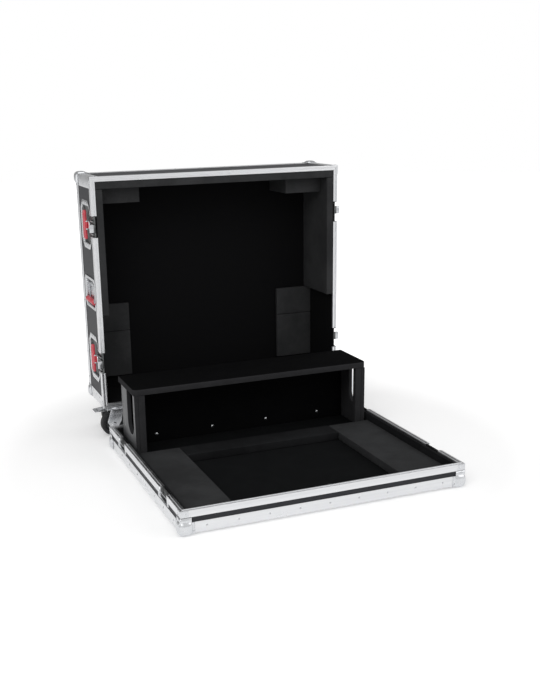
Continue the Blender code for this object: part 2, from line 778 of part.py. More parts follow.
def hook_mesh():
    """The hook at rest, drawn back inside the lid, its origin on the hub's axis."""
    z0 = HOOK_OFFSET - HOOK_WIDTH / 2
    z1 = HOOK_OFFSET + HOOK_WIDTH / 2
    floor = -LATCH_POCKET + PRESSING + 2 * GAP
    tip = -LATCH_HUB_DEEP + HOOK_TIP
    root = -HUB_RADIUS - HOOK_CLEARANCE
    outline = [(floor, tip)] + [(out, tip + back) for out, back in HOOK_NOSE]
    outline += [(HOOK_NOSE[-1][0], root), (floor, root)]
    return settled_mesh(plate("latch_hook", [outline], "z", z0, z1))


def make_latches(lid):
    meshes = {"dish": latch_dish_mesh(), "hub": latch_hub_mesh(), "wing": wing_mesh(), "hook": hook_mesh()}
    for side_name, side in SIDES.items():
        turn = Matrix.Rotation(math.pi, 4, "Y") if side < 0 else None
        for height_name, up in LATCH_HEIGHTS.items():
            where = f"{height_name}_{side_name}"
            place = (side * HALF, LID_OPEN + LATCH_HUB_DEEP, LID_BOTTOM + up)
            pin = (side * (HALF + WING_PIN_OUT), place[1], place[2])
            copy_of(meshes["dish"], f"latch_dish_{where}", STEEL, place, turn, lid)
            hub = copy_of(meshes["hub"], f"latch_hub_{where}", STEEL, place, turn, lid)
            copy_of(meshes["wing"], f"latch_wing_{where}", RED, pin, turn, hub)
            copy_of(meshes["hook"], f"latch_hook_{where}", STEEL, place, turn, lid)


# Handles, made for the right side. The left ones are turned over along x.

def handle_dish_mesh():
    """The dish, its origin at its middle on the case side."""
    half_deep, half_up = HANDLE_POCKET
    cup = box("handle_dish", (-LATCH_POCKET, -half_deep, -half_up), (2 * GAP, half_deep, half_up))
    flange_deep, flange_up = HANDLE_FLANGE
    join(cup, plate("handle_flange", [chamfered(-flange_deep, flange_deep, -flange_up, flange_up,
                                             HANDLE_CHAMFER)], "x", GAP, SHEET))
    backing = RIM_LEG + 2 * GAP - HANDLE_DEEP
    join(cup, box("handle_flange_back", (-SHEET, backing, -flange_up + HANDLE_CHAMFER),
                  (2 * GAP, flange_deep - HANDLE_BACKING, flange_up - HANDLE_CHAMFER)))
    cut(cup, box("handle_cup", (-LATCH_POCKET + PRESSING, -half_deep + PRESSING, -half_up + PRESSING),
                 (FAR, half_deep - PRESSING, half_up - PRESSING)))
    return settled_mesh(cup)


def bail_mesh():
    """The bail hanging flat in its dish, its origin on its pivot, which runs along y."""
    half = HANDLE_POCKET[0] - PRESSING - HANDLE_ROD_PLAY
    out, thick = BAIL_ARM_HALVES
    bail = rod("handle_bail", HANDLE_ROD, (0, -half, 0), (0, half, 0), segments=16)
    for side in (-1, 1):
        y0, y1 = sorted((side * (BAIL_ARM - thick), side * (BAIL_ARM + thick)))
        join(bail, box("bail_arm", (-out, y0, -GRIP_DROP), (out, y1, out)))
    grip = BAIL_ARM + GRIP_END
    join(bail, rod("bail_grip", GRIP_RADIUS, (HANDLE_PIN_IN, -grip, -GRIP_DROP),
                   (HANDLE_PIN_IN, grip, -GRIP_DROP), segments=24))
    return settled_mesh(bail)


def make_handles(lid):
    dish = handle_dish_mesh()
    bail = bail_mesh()
    for side_name, side in SIDES.items():
        signs = (side, 1, 1)
        place = (side * HALF, LID_OPEN + HANDLE_DEEP, LID_BOTTOM + HANDLE_UP)
        pin = (side * (HALF - HANDLE_PIN_IN), place[1], place[2] + HANDLE_PIN_UP)
        copy_of(mirrored(dish, signs), f"handle_dish_{side_name}", STEEL, place, parent=lid)
        copy_of(mirrored(bail, signs), f"handle_bail_{side_name}", RED, pin, parent=lid)


# Casters, made for a wheel that trails towards +x. Their origin is on the swivel axis at floor level. Those
# that trail the other way are turned half round the z axis.

def wheel_mesh():
    """A turned wheel with a bore, its origin at its centre and its axle along y."""
    half = WHEEL_WIDTH / 2
    boss = FORK_INNER - WHEEL_PLAY
    shoulder = TYRE_SHOULDER
    right = [(AXLE_RADIUS + GAP, boss), (WHEEL_BOSS, boss)]
    right += [(radius, half - inset) for radius, inset in WHEEL_FACE]
    right += arc(WHEEL_RADIUS - shoulder, half - shoulder, shoulder, 75, 0, 3)
    profile = right + [(radius, -height) for radius, height in reversed(right)]
    mesh = bpy.data.meshes.new("wheel_profile")
    edges = [(i, (i + 1) % len(profile)) for i in range(len(profile))]
    mesh.from_pydata([(radius, 0.0, height) for radius, height in profile], edges, [])
    wheel = add_object("caster_wheel", mesh, PARTS)
    screw = wheel.modifiers.new("turn", "SCREW")
    screw.steps = 32
    screw.render_steps = 32
    screw.use_merge_vertices = True
    screw.merge_threshold = 0.00001
    return settled_mesh(wheel, Matrix.Rotation(math.pi / 2, 4, "X"))


def fork_mesh(with_brake):
    """Race, crown, two legs and the axle bolt in one piece, with two lugs where it carries a pedal."""
    top = CASTER_HEIGHT - GAP - PLATE_THICKNESS - GAP
    outer = FORK_INNER + FORK_SHEET
    crown_top = CROWN_BOTTOM + CROWN_THICKNESS
    fork = rod("caster_fork", RACE_RADIUS, (0, 0, crown_top - OVERLAP), (0, 0, top), segments=32)
    join(fork, box("fork_crown", (CROWN_REACH[0], -outer, CROWN_BOTTOM), (CROWN_REACH[1], outer, crown_top)))
    axle_x = CASTER_TRAIL
    root = crown_top - CROWN_THICKNESS / 2
    leg_outline = [(LEG_ROOT[1], root), (LEG_ROOT[0], root), (LEG_SHOULDER[0], LEG_SHOULDER_HEIGHT),
                   (axle_x - LEG_FOOT_HALF, LEG_FOOT_HEIGHT), (axle_x + LEG_FOOT_HALF, LEG_FOOT_HEIGHT),
                   (LEG_SHOULDER[1], LEG_SHOULDER_HEIGHT)]
    for side in (-1, 1):
        y0, y1 = sorted((side * FORK_INNER, side * outer))
        join(fork, plate("fork_leg", [leg_outline], "y", y0, y1))
    bolt = outer + BOLT_HEAD_HEIGHT
    join(fork, rod("axle", AXLE_RADIUS, (axle_x, -outer - OVERLAP, WHEEL_RADIUS),
                   (axle_x, outer + OVERLAP, WHEEL_RADIUS), segments=16))
    for side in (-1, 1):
        join(fork, rod("bolt_head", BOLT_HEAD, (axle_x, side * (outer - OVERLAP), WHEEL_RADIUS),
                       (axle_x, side * bolt, WHEEL_RADIUS), segments=6))
    if with_brake:
        near = PEDAL_ROOT_HALF + OVERLAP
        far_x = PEDAL_PIN[0] + PEDAL_BARREL
        for side in (-1, 1):
            y0, y1 = sorted((side * near, side * (near + PEDAL_LUG)))
            join(fork, box("pedal_lug", (CROWN_REACH[1] - PEDAL_BARREL, y0, crown_top - PEDAL_BARREL),
                           (far_x, y1, PEDAL_PIN[1] + PEDAL_BARREL)))
    return settled_mesh(fork)


def pedal_mesh():
    """The brake pedal, its origin on its pin, which runs along y: a narrow root and a wide tread."""
    tip = PEDAL_TIP - PEDAL_PIN[0]
    low = -PEDAL_DROP
    root = [(-0.003, low + 0.002), (0.008, low + 0.0005), (0.020, low + 0.001), (0.020, low + 0.006),
            (0.008, low + 0.0085)] + arc(0.0, 0.0, PEDAL_BARREL, 60, 200, 6)
    tread = [(0.012, low), (tip, low - 0.0005), (tip, low + 0.0035), (0.040, low + 0.0055),
             (0.012, low + 0.008)]
    pedal = plate("caster_brake", [root], "y", -PEDAL_ROOT_HALF, PEDAL_ROOT_HALF)
    join(pedal, plate("pedal_tread", [tread], "y", -PEDAL_TREAD_HALF, PEDAL_TREAD_HALF))
    return settled_mesh(pedal)


def make_caster_plates(lid):
    """One long plate on each side for both casters, cut back where the lid's ball corner is."""
    top = LID_BOTTOM - GAP
    y0, y1 = (LID_OPEN + deep for deep in PLATE_DEEPS)
    cut0, cut1 = (LID_OPEN + deep for deep in PLATE_CUT_DEEPS)
    for side_name, side in SIDES.items():
        outer, inner = (side * (HALF - inset) for inset in PLATE_INSETS)
        trimmed = side * (HALF - PLATE_CUT_INSET)
        outline = [(inner, y0), (outer, y0), (outer, cut0), (trimmed, cut1), (trimmed, y1), (inner, y1)]
        rail = plate(f"caster_plate_{side_name}", [outline], "z", top - PLATE_THICKNESS, top)
        follow(finish(rail, STEEL), lid)


def make_casters(lid):
    make_caster_plates(lid)
    forks = {"front": fork_mesh(with_brake=True), "back": fork_mesh(with_brake=False)}
    wheel_shape = wheel_mesh()
    pedal_shape = pedal_mesh()
    for side_name, side in SIDES.items():
        for end_name, deep in CASTER_DEEPS.items():
            where = f"{end_name}_{side_name}"
            trails = side * CASTER_TRAILS[end_name]
            turn = Matrix.Rotation(math.pi, 4, "Z") if trails < 0 else None
            x = side * (HALF - CASTER_INSET)
            y = LID_OPEN + deep
            fork = copy_of(forks[end_name], f"caster_fork_{where}", STEEL, (x, y, 0.0), turn, lid)
            copy_of(wheel_shape, f"caster_wheel_{where}", TYRE,
                    (x + trails * CASTER_TRAIL, y, WHEEL_RADIUS), turn, fork)
            if end_name == "front":
                pin = (x + side * PEDAL_PIN[0], y, PEDAL_PIN[1])
                copy_of(pedal_shape, f"caster_brake_{side_name}", STEEL, pin, turn, fork)


def follow(shape, parent):
    bpy.context.view_layer.update()
    shape.parent = parent
    shape.matrix_parent_inverse = parent.matrix_world.inverted()
    return shape


def make_lid_pivot():
    """The line about which the standing lid tips exactly onto the tray, as an empty."""
    closed = TRAY_HEIGHT + CLOSED_GAP
    y = (TRAY_BACK + LID_OPEN + CASTER_HEIGHT - closed) / 2
    z = (TRAY_BACK - LID_OPEN + CASTER_HEIGHT + closed) / 2
    pivot = add_object("lid_pivot", None, PARTS)
    pivot.location = (0.0, y, z)
    bpy.context.view_layer.update()
    return pivot


def build():
    make_tray_floor()
    make_tray_walls()
    make_tray_base_edging()
    make_tray_rim()
    make_keepers()
    make_tray_lining()
    make_tray_pads()
    make_cable_box()
    lid = make_lid_pivot()
    for shape in (make_lid_panel(), make_lid_walls(), make_lid_rim(), make_lid_edging(), make_lid_foam()):
        follow(shape, lid)
    make_corners(lid)
    make_latches(lid)
    make_handles(lid)
    make_casters(lid)


build()
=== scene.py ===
"""Mixer flight case, standing open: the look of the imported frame, its small parts, the light and the camera.

Metres, +Z up, in the frame's own axes. Depths inward from a case side are called insets, depths back from the
lid's open side are called deep, and heights above the lid's lower end are called up. Heights on the tray are
given from 2 mm under its edging, and piece() lifts them to where the ball corners hold it.
"""

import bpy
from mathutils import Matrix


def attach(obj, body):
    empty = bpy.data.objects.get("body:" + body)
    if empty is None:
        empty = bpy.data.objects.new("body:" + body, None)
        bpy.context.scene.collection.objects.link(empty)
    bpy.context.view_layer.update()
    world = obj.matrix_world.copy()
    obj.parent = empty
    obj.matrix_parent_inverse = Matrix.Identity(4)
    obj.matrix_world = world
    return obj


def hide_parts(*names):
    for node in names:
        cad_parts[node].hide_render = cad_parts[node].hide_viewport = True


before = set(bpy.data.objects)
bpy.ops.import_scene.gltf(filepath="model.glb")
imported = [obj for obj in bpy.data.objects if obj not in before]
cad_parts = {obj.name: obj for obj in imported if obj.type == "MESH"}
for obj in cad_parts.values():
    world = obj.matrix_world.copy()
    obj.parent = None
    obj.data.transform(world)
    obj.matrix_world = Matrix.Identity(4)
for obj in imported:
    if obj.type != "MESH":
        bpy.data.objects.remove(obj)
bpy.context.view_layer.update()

import math

import bmesh
import bpy
from mathutils import Matrix, Vector, noise

# Sizes that the frame has too
HALF = 0.5
FRONT = -0.60275
TRAY_BACK = 0.27725
OPEN = 0.35975
LID_BACK = 0.60275
BOTTOM = 0.130
TOP = 1.010
LID_DEPTH = 0.243
STAND = 0.006
FOOT = 0.002
FLOOR_TOP = 0.0131
RIM = 0.018
FOAM_INSET = 0.0183
LINING_INNER = 0.0283
CARPET_TOP = 0.0171
LATCH_UPS = {"lower": 0.181, "upper": 0.699}
HUB_DEEP = 0.082
NOTCH = 0.040
POCKET_FLOOR = -0.0110
HANDLE_UP = 0.4395
HANDLE_DEEP = 0.0995
CASTER_DEEPS = {"front": 0.064, "back": 0.196}
SWIVEL_INSET = 0.065
TRAIL = 0.017
WHEEL = 0.048
KNOB_RADIUS = 0.025
KNOB_INSET = 0.0165
PROUD = 0.0019
SIDES = {"left": -1, "right": 1}

# Light: strength of the surroundings in front and behind, the floor's own white, and the lamps
FRONT_LIGHT = 0.75
BACK_LIGHT = 0.34
FLOOR_GLOW = 0.27
FLOOR_SHINE = 0.22
WHITE = (1.0, 1.0, 1.0)
LAMPS = (("key", (-2.6, -2.9, 3.4), (0.0, 0.0, 0.4), 2.6, 50.0),
         ("fill", (2.8, -2.2, 2.6), (0.0, 0.0, 0.4), 3.0, 18.0),
         ("side", (-3.4, 1.0, 1.2), (-0.4, 0.1, 0.4), 2.4, 9.0),
         ("top", (0.0, 0.6, 4.2), (0.0, 0.0, 0.2), 3.2, 24.0))


# Materials

def feed(socket, value):
    """Links a socket, or sets it. A colour is given as three numbers."""
    if isinstance(value, bpy.types.NodeSocket):
        socket.id_data.links.new(value, socket)
    else:
        socket.default_value = (*value, 1.0) if socket.type == "RGBA" else value


def add_node(tree, kind, inputs=(), output=0, **options):
    """A new node with its options set and its inputs fed, by name or in order. Gives one of its outputs."""
    node = tree.nodes.new("ShaderNode" + kind)
    for name, value in options.items():
        setattr(node, name, value)
    for key, value in inputs.items() if isinstance(inputs, dict) else enumerate(inputs):
        feed(node.inputs[key], value)
    return node.outputs[output]


def shade(colour, factor):
    return tuple(factor * c for c in colour)


class Graph:
    """One material's nodes, built with short calls."""

    def __init__(self, name, **values):
        self.material = bpy.data.materials.new(name)
        self.material.use_nodes = True
        self.shader = self.material.node_tree.nodes["Principled BSDF"]
        for key, value in values.items():
            feed(self.shader.inputs[key.replace("_", " ")], value)
        self.place = self.node("TexCoord", output="Object")

    def node(self, kind, inputs=(), output=0, **options):
        return add_node(self.material.node_tree, kind, inputs, output, **options)

    def math(self, operation, a, b):
        return self.node("Math", (a, b), operation=operation)

    def times(self, a, b):
        return self.math("MULTIPLY", a, b)

    def plus(self, a, b):
        return self.math("ADD", a, b)

    def scaled(self, scale):
        scale = scale if isinstance(scale, tuple) else (scale,) * 3
        return self.node("VectorMath", (self.place, scale), operation="MULTIPLY")

    def noise(self, scale, detail=2.0, roughness=0.5, distortion=0.0):
        return self.node("TexNoise", {"Vector": self.scaled(scale), "Scale": 1.0, "Detail": detail,
                                      "Roughness": roughness, "Distortion": distortion})

    def cells(self, scale, feature="F1"):
        return self.node("TexVoronoi", {"Vector": self.scaled(scale), "Scale": 1.0}, "Distance",
                         feature=feature)

    def between(self, value, low, high, to_low=0.0, to_high=1.0):
        return self.node("MapRange", (value, low, high, to_low, to_high), interpolation_type="SMOOTHSTEP")

    def mix(self, share, a, b):
        return self.node("Mix", {"Factor": share, "A": a, "B": b}, "Result", data_type="RGBA")

    def over(self, tone, mask, share, colour):
        """The tone with a share of another colour where the mask is 1."""
        return self.mix(self.times(mask, share), tone, colour)

    def edges(self, radius):
        """1 along outer edges, 0 on the flats."""
        bevel = self.node("Bevel", {"Radius": radius}, samples=3)
        normal = self.node("NewGeometry", output="Normal")
        dot = self.node("VectorMath", (bevel, normal), "Value", operation="DOT_PRODUCT")
        return self.between(self.math("SUBTRACT", 1.0, dot), 0.02, 0.25)

    def inset(self, box):
        """Depth of a point below the nearest of a case's outer faces; box gives (axis, low, high) in metres."""
        depth = None
        for axis, low, high in box:
            place = self.node("SeparateXYZ", (self.place,), axis)
            for one in (self.math("SUBTRACT", place, low), self.math("SUBTRACT", high, place)):
                depth = one if depth is None else self.math("MINIMUM", depth, one)
        return depth

    def finish(self, colour, roughness, height, depth, shine=0.5):
        """Colour, roughness, a bump of that depth in metres, and the share of the usual surface shine."""
        bump = self.node("Bump", {"Strength": 1.0, "Distance": depth, "Height": height})
        for name, value in (("Base Color", colour), ("Roughness", roughness), ("Specular IOR Level", shine),
                            ("Normal", bump)):
            feed(self.shader.inputs[name], value)
        return self.material


def aluminium(axis):
    """Satin anodised extrusion with die lines along one axis, scuffs and worn edges."""
    g = Graph("aluminium_along_" + axis, Metallic=1.0)
    lines = g.noise(tuple(3.0 if a == axis else 1400.0 for a in "xyz"), 3.0, 0.6)
    bands = g.noise(tuple(1.2 if a == axis else 160.0 for a in "xyz"))
    clouds = g.noise(14.0, 4.0, 0.6)
    scuffs = g.between(g.noise((300.0, 260.0, 340.0), 5.0, 0.75, 1.4), 0.62, 0.72)
    edge = g.times(g.edges(0.0012), g.between(g.noise(220.0, 3.0), 0.35, 0.6))
    tone = g.mix(lines, (0.74, 0.75, 0.77), (0.90, 0.905, 0.915))
    tone = g.over(tone, g.between(bands, 0.4, 0.7), 0.25, (0.66, 0.67, 0.69))
    tone = g.over(tone, scuffs, 0.16, (0.50, 0.51, 0.53))
    tone = g.over(tone, edge, 0.5, (0.93, 0.93, 0.94))
    rough = g.plus(g.between(clouds, 0.3, 0.7, 0.27, 0.36), g.times(scuffs, 0.14))
    return g.finish(tone, rough, g.plus(lines, g.times(scuffs, -0.4)), 0.00002)


def zinc(name="zinc_plate", dark=1.0, deep_shade=False):
    """Bright plated pressing: slightly wavy, cloudy, with rubbed edges and dull spots. The shaded one has painted
    shade: it is dark in patches, and rougher, wherever it lies deeper than a few millimetres in the case's side,
    as a recess is in shade."""
    g = Graph(name, Metallic=1.0)
    clouds = g.noise(70.0, 5.0, 0.65)
    spots = g.between(g.noise(520.0, 4.0, 0.7), 0.64, 0.74)
    tone = g.mix(clouds, shade((0.60, 0.615, 0.64), dark), shade((0.82, 0.83, 0.845), dark))
    tone = g.over(tone, g.cells(420.0), 0.12, (0.90, 0.91, 0.93))
    tone = g.over(tone, spots, 0.3, (0.40, 0.40, 0.41))
    tone = g.over(tone, g.edges(0.0009), 0.35, (0.92, 0.92, 0.93))
    rough = g.plus(g.between(clouds, 0.3, 0.7, 0.20, 0.30), g.times(spots, 0.2))
    if deep_shade:
        # Painted shade: the pressing darkens, in patches, where it is sunk a few millimetres into the case's
        # side.
        sunk_shade = g.between(g.inset((("X", -HALF, HALF),)), 0.0012, 0.0070)
        patches = g.between(g.noise(45.0, 3.0, 0.55), 0.35, 0.65)
        tone = g.over(tone, sunk_shade, 0.94, g.mix(patches, (0.055, 0.057, 0.057), (0.165, 0.17, 0.168)))
        rough = g.plus(rough, g.times(sunk_shade, 0.25))
    height = g.plus(g.times(g.noise(38.0), 3.0), g.times(g.noise(2600.0), 0.1))
    return g.finish(tone, rough, height, 0.00006)


def laminate(name, box, inner):
    """Finely stippled laminate outside, painted board inside and on the cut edges."""
    g = Graph(name)
    inside = g.between(g.inset(box), 0.0022, 0.0026)
    stipple = g.cells(620.0, "SMOOTH_F1")
    scuffs = g.between(g.noise((60.0, 90.0, 420.0), 5.0, 0.7, 0.8), 0.66, 0.74)
    outer = g.mix(g.noise(9.0, 5.0, 0.6), (0.033, 0.034, 0.038), (0.045, 0.046, 0.051))
    outer = g.over(outer, g.between(stipple, 0.2, 0.7), 0.35, (0.022, 0.023, 0.026))
    outer = g.over(outer, scuffs, 0.18, (0.16, 0.16, 0.17))
    paint = g.mix(g.noise(500.0, 4.0, 0.7), shade(inner, 0.7), shade(inner, 1.35))
    rough = g.mix(inside, (0.42, 0.42, 0.42), (0.95, 0.95, 0.95))
    height = g.plus(g.times(stipple, 0.8), g.times(g.noise(1500.0, 3.0), 0.5))
    return g.finish(g.mix(inside, outer, paint), rough, height, 0.00012, 0.1)


def felt(name, dark, light, fibre, depth):
    """Needled felt or carpet: matted fibres in two scales, with lighter loose ones."""
    g = Graph(name)
    coarse = g.noise((fibre * 0.35, fibre * 0.5, fibre * 0.35), 5.0, 0.75, 2.2)
    fine = g.noise((fibre, fibre * 1.6, fibre), 3.0, 0.7, 1.2)
    loose = g.between(g.noise((fibre * 0.8, fibre * 0.3, fibre * 1.3), 4.0, 0.8, 3.0), 0.64, 0.74)
    tone = g.mix(g.between(coarse, 0.3, 0.7), dark, light)
    tone = g.over(tone, g.between(g.noise(16.0, 4.0, 0.6), 0.35, 0.7), 0.25, shade(light, 1.3))
    tone = g.over(tone, loose, 0.35, shade(light, 2.2))
    return g.finish(tone, 0.95, g.plus(coarse, g.times(fine, 0.5)), depth, 0.04)


def foam(name, dark, light):
    """Dense closed-cell foam: fine pores with painted shade in their pits, faint skiving lines and soft mottling.
    """
    g = Graph(name)
    pores = g.cells(900.0)
    bubbles = g.between(g.cells(260.0), 0.05, 0.32)
    lines = g.noise((12.0, 420.0, 420.0), 3.0)
    tone = g.mix(g.between(g.noise(7.0, 5.0, 0.62), 0.3, 0.7), dark, light)
    # Painted shade: the pits of the pores and of the bubbles are darkened.
    tone = g.over(tone, g.between(pores, 0.1, 0.5, 1.0, 0.0), 0.4, shade(dark, 0.55))
    tone = g.over(tone, g.math("SUBTRACT", 1.0, bubbles), 0.5, shade(dark, 0.5))
    height = g.plus(g.plus(pores, g.times(bubbles, 1.4)), g.times(lines, 0.3))
    return g.finish(tone, 0.92, height, 0.00025, 0.08)


def moulded(name, colour, pale, roughness):
    """Moulded plastic with a fine texture, rubbed lighter along its edges and lightly scratched."""
    g = Graph(name, Coat_Weight=0.08, Coat_Roughness=0.3)
    clouds = g.noise(45.0, 4.0, 0.6)
    scratches = g.between(g.noise((900.0, 900.0, 60.0), 4.0, 0.8, 0.6), 0.66, 0.74)
    edge = g.times(g.edges(0.0012), g.between(g.noise(420.0, 4.0, 0.7), 0.35, 0.62))
    tone = g.mix(g.between(clouds, 0.3, 0.7), shade(colour, 0.82), shade(colour, 1.08))
    tone = g.over(tone, scratches, 0.25, pale)
    tone = g.over(tone, edge, 0.3, pale)
    rough = g.plus(g.between(clouds, 0.3, 0.7, roughness - 0.05, roughness + 0.07), g.times(scratches, 0.15))
    return g.finish(tone, rough, g.noise(1800.0), 0.00003)


def rubber(name, colour):
    """Wheel rubber with floor dust caught in its fine grain."""
    g = Graph(name)
    grain = g.noise(1300.0, 3.0, 0.7)
    dust = g.between(g.noise(55.0, 6.0, 0.7), 0.45, 0.75)
    marks = g.between(g.noise((260.0, 24.0, 260.0), 4.0, 0.7), 0.60, 0.72)
    tone = g.mix(grain, shade(colour, 0.75), shade(colour, 1.25))
    tone = g.over(tone, dust, 0.18, (0.16, 0.155, 0.15))
    tone = g.over(tone, marks, 0.15, (0.10, 0.10, 0.10))
    return g.finish(tone, g.between(dust, 0.0, 1.0, 0.55, 0.8), grain, 0.00008, 0.25)


TRAY_SIDES = (("X", -HALF, HALF), ("Y", FRONT, TRAY_BACK))
LID_SIDES = (("X", -HALF, HALF), ("Z", BOTTOM, TOP))
ALU = {axis: aluminium(axis) for axis in "xyz"}
ZINC = zinc()
ZINC_DULL = zinc("zinc_plate_dull", 0.8)
# The pressing with painted shade in its sunk parts.
ZINC_DEEP_SHADE = zinc("zinc_plate_deep_shade", 0.9, deep_shade=True)
LAMINATE_TRAY = laminate("laminate_tray", TRAY_SIDES, (0.012, 0.012, 0.013))
LAMINATE_LID = laminate("laminate_lid", LID_SIDES, (0.0040, 0.0040, 0.0044))
LAMINATE_BACK = laminate("laminate_lid_back", (("Y", -1.0, LID_BACK),), (0.0036, 0.0036, 0.0040))
LAMINATE_FLOOR = laminate("laminate_floor", (("Z", FOOT + STAND, 1.0),), (0.012, 0.012, 0.013))
CARPET = felt("floor_carpet", (0.0040, 0.0043, 0.0046), (0.0085, 0.0090, 0.0095), 800.0, 0.0006)
BOX_CARPET = felt("box_carpet", (0.0017, 0.0017, 0.0019), (0.0040, 0.0041, 0.0044), 1000.0, 0.0004)
# A lighter copy of the box carpet stands in for light: painted light on the box's sides and painted highlight on
# the shelf's edges.
BOX_CARPET_LIT = felt("box_carpet_lit_copy", (0.019, 0.019, 0.020), (0.034, 0.034, 0.036), 1000.0, 0.0004)
FOAM = foam("grey_foam", (0.026, 0.0265, 0.0275), (0.040, 0.041, 0.0425))
FOAM_LID = foam("lid_foam_grey", (0.028, 0.0285, 0.0295), (0.043, 0.0435, 0.045))
FOAM_DARK = foam("dark_foam", (0.0085, 0.0088, 0.0095), (0.0150, 0.0155, 0.0165))
BOX_SKIN = moulded("box_side_board", (0.120, 0.121, 0.126), (0.25, 0.25, 0.26), 0.45)
RED = moulded("red_moulding", (0.66, 0.060, 0.085), (0.86, 0.30, 0.32), 0.34)
TYRE = rubber("tyre_rubber", (0.022, 0.022, 0.024))
HUB = moulded("wheel_hub", (0.045, 0.046, 0.050), (0.12, 0.12, 0.12), 0.42)


# Outlines and meshes

def fillet(points, radii, steps=4):
    """The outline with rounded corners. A corner with radius 0 stays one point."""
    if not hasattr(radii, "__len__"):
        radii = [radii] * len(points)
    out = []
    count = len(points)
    for i, radius in enumerate(radii):
        corner = Vector(points[i])
        if radius <= 0:
            out.append(tuple(corner))
            continue
        before = (Vector(points[i - 1]) - corner)
        after = (Vector(points[(i + 1) % count]) - corner)
        a, b = before.normalized(), after.normalized()
        angle = a.angle(b)
        if angle > math.pi - 0.001:
            out += [tuple(corner)] * (steps + 1)
            continue
        reach = min(radius / math.tan(angle / 2), before.length * 0.49, after.length * 0.49)
        real = reach * math.tan(angle / 2)
        centre = corner + (a + b).normalized() * (real / math.sin(angle / 2))
        first = corner + a * reach - centre
        last = corner + b * reach - centre
        turn = math.atan2(first.x * last.y - first.y * last.x, first.dot(last))
        for step in range(steps + 1):
            t = turn * step / steps
            c, s = math.cos(t), math.sin(t)
            out.append((centre.x + first.x * c - first.y * s, centre.y + first.x * s + first.y * c))
    return out


def offset(points, distance):
    """The outline moved inward by a distance, point for point."""
    area = sum(a[0] * b[1] - b[0] * a[1] for a, b in zip(points, points[1:] + points[:1]))
    sign = 1 if area > 0 else -1
    out = []
    count = len(points)
    for i in range(count):
        here = Vector(points[i])
        before = here - Vector(points[i - 1])
        after = Vector(points[(i + 1) % count]) - here
        if before.length < 1e-9:
            before = here - Vector(points[i - 2])
        if after.length < 1e-9:
            after = Vector(points[(i + 2) % count]) - here
        n1 = Vector((-before.y, before.x)).normalized() * sign
        n2 = Vector((-after.y, after.x)).normalized() * sign
        both = n1 + n2
        out.append(tuple(here + both * (distance / max(0.25, both.dot(both) / 2))))
    return out


def rectangle(u0, u1, v0, v1):
    return [(u0, v0), (u1, v0), (u1, v1), (u0, v1)]


def chamfered(u, v, cut):
    return [(u - cut, -v), (u, -v + cut), (u, v - cut), (u - cut, v),
            (-u + cut, v), (-u, v - cut), (-u, -v + cut), (-u + cut, -v)]


def arc(cu, cv, radius, start, end, steps):
    return [(cu + radius * math.cos(math.radians(start + (end - start) * k / steps)),
             cv + radius * math.sin(math.radians(start + (end - start) * k / steps))) for k in range(steps + 1)]


def loft(bm, loops, caps=(True, True), skip=()):
    """Faces between closed loops of the same count, leaving out the numbered segments."""
    rows = [[bm.verts.new(point) for point in loop] for loop in loops]
    count = len(rows[0])
    for a, b in zip(rows, rows[1:]):
        for i in range(count):
            if i not in skip:
                j = (i + 1) % count
                bm.faces.new((a[i], a[j], b[j], b[i]))
    if caps[0]:
        bm.faces.new(rows[0][::-1])
    if caps[1]:
        bm.faces.new(rows[-1])


# Where an outline's (u, v, thickness) point: along x, along y or along z
ALONG = {
    "x": lambda u, v, w: (w, u, v),
    "y": lambda u, v, w: (u, w, v),
    "z": lambda u, v, w: (u, v, w),
}


def layers(outline, along, levels):
    """Loops of one outline, each moved inward by its own distance and set at its own level along an axis."""
    place = ALONG[along]
    return [[place(u, v, level) for u, v in offset(outline, inward)] for inward, level in levels]


def slab(bm, outline, along, low, high, edge=0.0005, steps=2, edge_low=None):
    """An outline given thickness along an axis, with rounded edges."""
    edge_low = edge if edge_low is None else edge_low
    turns = [math.pi / 2 * k / steps for k in range(steps + 1)]
    levels = [(edge_low * (1 - math.sin(a)), low + edge_low * (1 - math.cos(a))) for a in turns]
    levels += [(edge * (1 - math.cos(a)), high - edge * (1 - math.sin(a))) for a in turns]
    loft(bm, layers(outline, along, levels))


def turned(bm, profile, segments, matrix, ring=False):
    """A profile of (radius, height) points turned about the matrix's z axis. A ring's profile is closed."""
    if ring:
        profile = [*profile, profile[0]]
    turns = [2 * math.pi * k / segments for k in range(segments)]
    loops = [[matrix @ Vector((radius * math.cos(a), radius * math.sin(a), height)) for a in turns]
             for radius, height in profile]
    loft(bm, loops, (not ring and profile[0][0] > 0, not ring and profile[-1][0] > 0))


def tube(bm, points, radius, sides):
    """A round wire along a path."""
    points = [Vector(p) for p in points]
    side = (points[1] - points[0]).normalized().orthogonal().normalized()
    turns = [2 * math.pi * k / sides for k in range(sides)]
    loops = []
    for i, point in enumerate(points):
        ahead = (points[min(i + 1, len(points) - 1)] - points[max(i - 1, 0)]).normalized()
        side = (side - ahead * side.dot(ahead)).normalized()
        up = ahead.cross(side)
        loops.append([point + (side * math.cos(a) + up * math.sin(a)) * radius for a in turns])
    loft(bm, loops)


def facing(origin, direction, spin=0.0):
    """A frame with its z axis along a direction."""
    turn = Vector(direction).to_track_quat("Z", "Y").to_matrix().to_4x4()
    return Matrix.Translation(origin) @ turn @ Matrix.Rotation(spin, 4, "Z")


